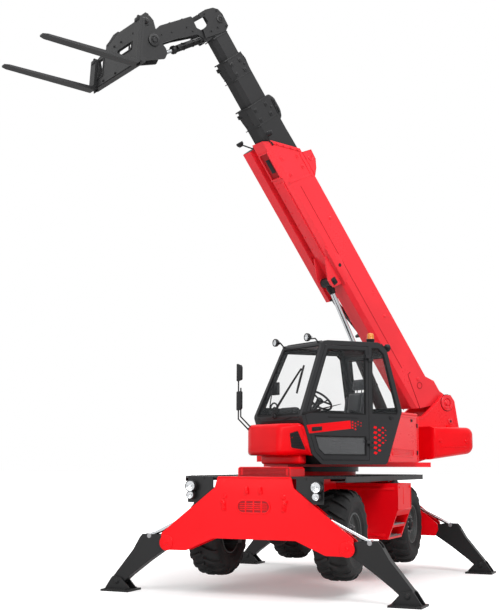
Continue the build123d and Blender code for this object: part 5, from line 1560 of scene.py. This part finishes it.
# %% [markdown]
# ## Boom: inner sections and head
# Each inner section ends in a thick rim with its own pad bolts, a hose guide plate on its back and a
# sheave cover. The head has bolted side plates, the tilt pin's covers, and hoses that run down its neck.
# The hoses are fixed at both ends to the same steelwork, so they are plain tubes.


# %% Section rims
def section_trim(name, body, half, back_face, front_face, end, tail):
    trim = Piece(BOOM)
    half_ring, front_ring, back_ring = half + 0.006, front_face - 0.006, back_face + 0.006
    outline = [(-half_ring, front_ring), (half_ring, front_ring), (half_ring, back_ring),
        (-half_ring, back_ring)]
    for x, width in ((end - 0.018, 0.018), (end - 0.330, 0.010)):
        trim.add(border(outline, 0.026, width, 0.030, 0.003), seen_from((x, 0, 0), (0, 1, 0), (0, 0, 1)))
    for side in (-1, 1):
        out = turn(-90 * side, "X")
        for x in (end - 0.26, end - 0.10):
            for level in (0.25, 0.75):
                z = front_face + (back_face - front_face) * level
                trim.add(block((x - 0.032, min(side * half, side * (half + 0.008)), z - 0.028),
                               (x + 0.032, max(side * half, side * (half + 0.008)), z + 0.028), 0.002))
                trim.add(hexagon_bolt(0.020), move(x, side * (half + 0.007), z) @ out)
        trim.add(cap(0.020, 0.012), move(end - 0.18, side * half, back_face - 0.05) @ out)
        bottom = turn(180, "X")
        for x in (end - 0.26, end - 0.10):
            trim.add(hexagon_bolt(0.020), move(x, side * half * 0.5, front_face) @ bottom)
    guide = [(end - 0.385, back_face), (end - 0.30, back_face + 0.040), (end - 0.12, back_face + 0.064),
        (end - 0.02, back_face + 0.040),
             (end - 0.02, back_face)]
    for side in (-1, 1):
        face = seen_from((0, side * half * 0.56, 0), (-side, 0, 0), (0, 0, 1))
        points = [(-side * x, z) for x, z in guide]
        trim.add(border(points if side < 0 else points[::-1], 0.012, 0.006, 0, 0.002), face)
    trim.add(cap(0.040, 0.010), move(end - 0.16, -half * 0.57, back_face + 0.025) @ turn(90, "X"))
    for i in range(2):
        y = -half - 0.014
        trim.add(pipe([(end - 0.09, y, front_face + 0.075 - 0.03 * i),
            (end - 0.20, y, front_face + 0.080 - 0.03 * i),
                       (end - 0.27, y + 0.012, front_face + 0.090 - 0.03 * i)], 0.009))
    trim.finish(name, boom_grey, body)


guide = Piece(BOOM @ seen_from((0, 0.085, 0), (-1, 0, 0), (0, 0, 1)))
hump = [(-5.25, -0.090), (-5.30, 0.000), (-5.40, 0.040), (-5.60, 0.040), (-5.69, -0.020), (-5.69, -0.090)]
guide.add(plate(hump, 0.030, 0.006, 0.030))
slot = [(-5.34, -0.050), (-5.37, 0.000), (-5.57, 0.006), (-5.62, -0.030)]
guide.add(border(slot, 0.010, 0.012, 0.020, 0.003), move(0, 0, 0.030))
guide.add(cap(0.024, 0.014), move(-5.48, -0.020, 0.030))
guide.add(plate(hump, 0.030, 0.006, 0.030), move(0, 0, -0.200))
guide.add(pipe([(-5.27, -0.060, 0.015), (-5.10, -0.040, 0.015), (-4.76, -0.035, 0.015)], 0.010))
guide.finish("section_2_guide", boom_grey, "section_2")
section_trim("section_2_rim", "section_2", 0.162, -0.085, -0.545, 5.690, 0.9)
section_trim("section_3_rim", "section_3", 0.136, -0.112, -0.480, 6.440, 1.5)

# %% Head, carriage and forks
head = Piece(BOOM)
HEAD_HALF = 0.110
for side in (-1, 1):
    out = turn(-90 * side, "X")
    for x, z in ((6.86, -0.11), (7.02, -0.09), (7.12, -0.13), (6.90, -0.40), (6.90, -0.26), (7.165, -0.36)):
        if side < 0 and z < -0.2:
            continue
        head.add(hexagon_bolt(0.024), move(x, side * (HEAD_HALF + 0.013), z) @ out)
    head.add(turned([(0.030, 0), (0.060, 0), (0.060, 0.010), (0.052, 0.014), (0.030, 0.014), (0.030, 0)], 32),
             move(6.990, side * (HEAD_HALF + 0.013), -0.150) @ out)
    head.add(cap(0.030, 0.014), move(6.990, side * (HEAD_HALF + 0.013), -0.150) @ out)
    neck_out = move(0, side * 0.097, 0)
    head.add(cap(0.045, 0.016), neck_out @ move(6.865, 0, -0.525) @ out)
    head.add(turned([(0, 0), (0.085, 0), (0.085, 0.008), (0.078, 0.012), (0, 0.012)], 36),
        neck_out @ move(7.180, 0, -1.400) @ out)
    for x, z in ((7.03, -0.68), (7.12, -0.74), (7.16, -1.02), (7.20, -1.20)):
        head.add(hexagon_bolt(0.020), neck_out @ move(x, 0, z) @ out)
    head.add(cap(0.048, 0.020), move(7.180, side * 0.150, -1.400) @ out)
outline = [(-0.120, -0.442), (0.120, -0.442), (0.120, -0.128), (-0.120, -0.128)]
head.add(border(outline, 0.024, 0.016, 0.020, 0.003), seen_from((6.78, 0, 0), (0, 1, 0), (0, 0, 1)))
head.finish("head_fittings", boom_grey, "boom_head")
hoses = Piece(BOOM)
for side in (-1, 1):
    for i in range(2):
        y = side * (0.045 - 0.026 * i)
        hoses.add(pipe([(7.20, y, -0.60), (7.245, y, -0.72), (7.275, y, -0.90), (7.300, y, -1.08),
            (7.270, y, -1.17)], 0.011))
hoses.add(block((7.225, -0.065, -0.735), (7.262, 0.065, -0.705), 0.005))
hoses.add(block((7.262, -0.065, -0.965), (7.300, 0.065, -0.935), 0.005))
hoses.finish("neck_hoses", rubber, "boom_head")

plate_face = seen_from((0.490, 0, 0), (0, 1, 0), (0, 0, 1))
plate_trim = Piece(CARRIAGE)
for y in (-0.60, -0.36, 0.0, 0.50, 0.62):
    plate_trim.add(hexagon_bolt(0.030), plate_face @ move(y, -0.585, 0))
for y in (-0.10, 0.10, 0.46, -0.34):
    plate_trim.add(hexagon_bolt(0.026), plate_face @ move(y, -0.16 if y > -0.3 else -0.20, 0))
plate_trim.add(border([(0.022, -0.382), (0.448, -0.382), (0.448, -0.256), (0.022, -0.256)], 0.014, 0.010,
    0.02, 0.003), plate_face)
plate_trim.add(border([(-0.558, -0.506), (-0.392, -0.506), (-0.392, -0.219), (-0.558, -0.219)], 0.014, 0.010,
    0.02, 0.003), plate_face)
plate_trim.add(block((-0.70, -0.628, 0), (0.70, -0.612, 0.012), 0.004), plate_face)
for side in (-1, 1):
    out = turn(-90 * side, "X")
    plate_trim.add(turned([(0.052, 0), (0.090, 0), (0.090, 0.010), (0.082, 0.014), (0.052, 0.014),
        (0.052, 0)], 36),
                   move(0, side * 0.145, 0) @ out)
    plate_trim.add(cap(0.040, 0.022), move(0.295, side * 0.440, 0.100) @ out)
    plate_trim.add(cap(0.034, 0.014), move(0.12, side * 0.140, 0.22) @ out)
    for x, z in ((0.22, -0.36), (0.36, -0.42), (0.42, -0.50)):
        plate_trim.add(hexagon_bolt(0.024), move(x, side * 0.140, z) @ out)
    gusset = [(0.462, -0.20), (0.462, -0.58), (0.400, -0.56), (0.400, -0.40)]
    for y in (0.30, 0.56):
        plate_trim.add(plate([(x, z) for x, z in gusset][::-1], 0.014, 0.003),
            move(0, side * y, 0) @ turn(90, "X"))
plate_trim.finish("carriage_fittings", boom_grey, "carriage")

fork_trim = Piece(CARRIAGE)
for side in (-1, 1):
    y = side * 0.635
    top = -0.03 if side > 0 else -0.235
    fork_trim.add(block((0.455, y - 0.055, top - 0.030), (0.552, y + 0.055, top + 0.028), 0.010, 3))
    fork_trim.add(pipe([(0.535, y, top + 0.02), (0.545, y, top + 0.055), (0.515, y, top + 0.060)], 0.009))
    fork_trim.add(block((0.455, y - 0.060, -0.668), (0.470, y + 0.060, -0.630), 0.005))
    for x in (0.70, 1.70):
        fork_trim.add(cap(0.010, 0.003), move(x, y, -0.6195 - 0.028 * (x - 0.565) / 1.295))
fork_trim.finish("fork_latches", dark_paint, "carriage")

# %% [markdown]
# ## Rams
# A cylinder's barrel ends in a screwed gland with a wiper ring, and a steel pipe runs along it from the
# port block at its base to the one at its mouth. Glands and blocks are turned or bevelled, and each ram
# gets the same function with its own sizes.


# %% Glands, ports and pipes
def ram_trim(name, body, start, towards, length, radius, rod, side):
    """Gland nut, port blocks and pipe of one barrel, drawn with +Z from its eye to its mouth."""
    start, towards = Vector(start), Vector(towards)
    axis = (towards - start).normalized()
    along = Matrix((axis.cross(Vector((0, 1, 0))), Vector((0, 1, 0)) * 1.0, axis)).transposed().to_4x4()
    if along.determinant() < 0:
        along = Matrix((Vector((0, 1, 0)).cross(axis), Vector((0, 1, 0)), axis)).transposed().to_4x4()
    trim = Piece(BOOM @ Matrix.Translation(start) @ along)
    gland = [(rod * 1.03, length + 0.004), (radius * 0.80, length + 0.010), (radius * 1.02, length + 0.004),
             (radius * 1.20, length - 0.012), (radius * 1.20, length - radius * 0.95),
                 (radius * 1.04, length - radius * 1.05)]
    trim.add(turned(gland, 40))
    for place in spots(8, radius * 1.2, 12):
        trim.add(block((-0.004, -radius * 0.16, length - radius * 0.85),
            (0.004, radius * 0.16, length - radius * 0.35), 0.001, 1), place)
    reach = radius + 0.024
    for at in (radius * 1.6, length - radius * 1.9):
        trim.add(block((-0.028, side * radius * 0.80 - 0.02, at - 0.028),
            (0.028, side * radius * 0.80 + 0.02 + side * 0.028, at + 0.028), 0.006))
    line = [(0.0, side * reach, radius * 1.6), (0.0, side * (reach + 0.02), radius * 2.2),
        (0.0, side * (reach + 0.02), length - radius * 2.5),
            (0.0, side * reach, length - radius * 1.9)]
    trim.add(pipe(line, 0.0085, smooth=False))
    for at in (0.35, 0.65):
        trim.add(block((-0.016, side * (radius - 0.004) - 0.004, length * at - 0.012),
            (0.016, side * (reach + 0.030), length * at + 0.012),
                       0.004))
        trim.add(ring(radius + 0.003, 0.005, 36, 6), move(0, 0, length * at))
    trim.finish(name, dark_paint, body)


eye = Piece(BOOM @ move(2.765, 0, -0.700))
eye.add(turned([(0.045, -0.101), (0.068, -0.101), (0.074, -0.095), (0.074, 0.095), (0.068, 0.101),
    (0.045, 0.101),
                (0.045, -0.101)], 44), OUT_Y)
rod_axis = Vector((-2.9065, 0, -0.4083)).normalized().to_track_quat("Z", "Y").to_matrix().to_4x4()
eye.add(turned([(0.041, 0.050), (0.062, 0.050), (0.062, 0.130), (0.055, 0.150), (0.050, 0.190),
    (0.041, 0.192)], 36), rod_axis)
for place in spots(4, 0.060, 45):
    eye.add(cap(0.010, 0.008), rod_axis @ move(0, 0, 0.100) @ place @ OUT_X)
eye.finish("lift_rod_eye", dark_paint, "lift_rod")
ram_trim("lift_ram_fittings", "lift_barrel", (-0.1415, 0, -1.1083), (2.765, 0, -0.700), 1.790, 0.085, 0.040,
    1)
ram_trim("tilt_ram_fittings", "tilt_barrel", (6.865, 0, -0.525), (6.970, 0, -1.330), 0.590, 0.050, 0.028, 1)
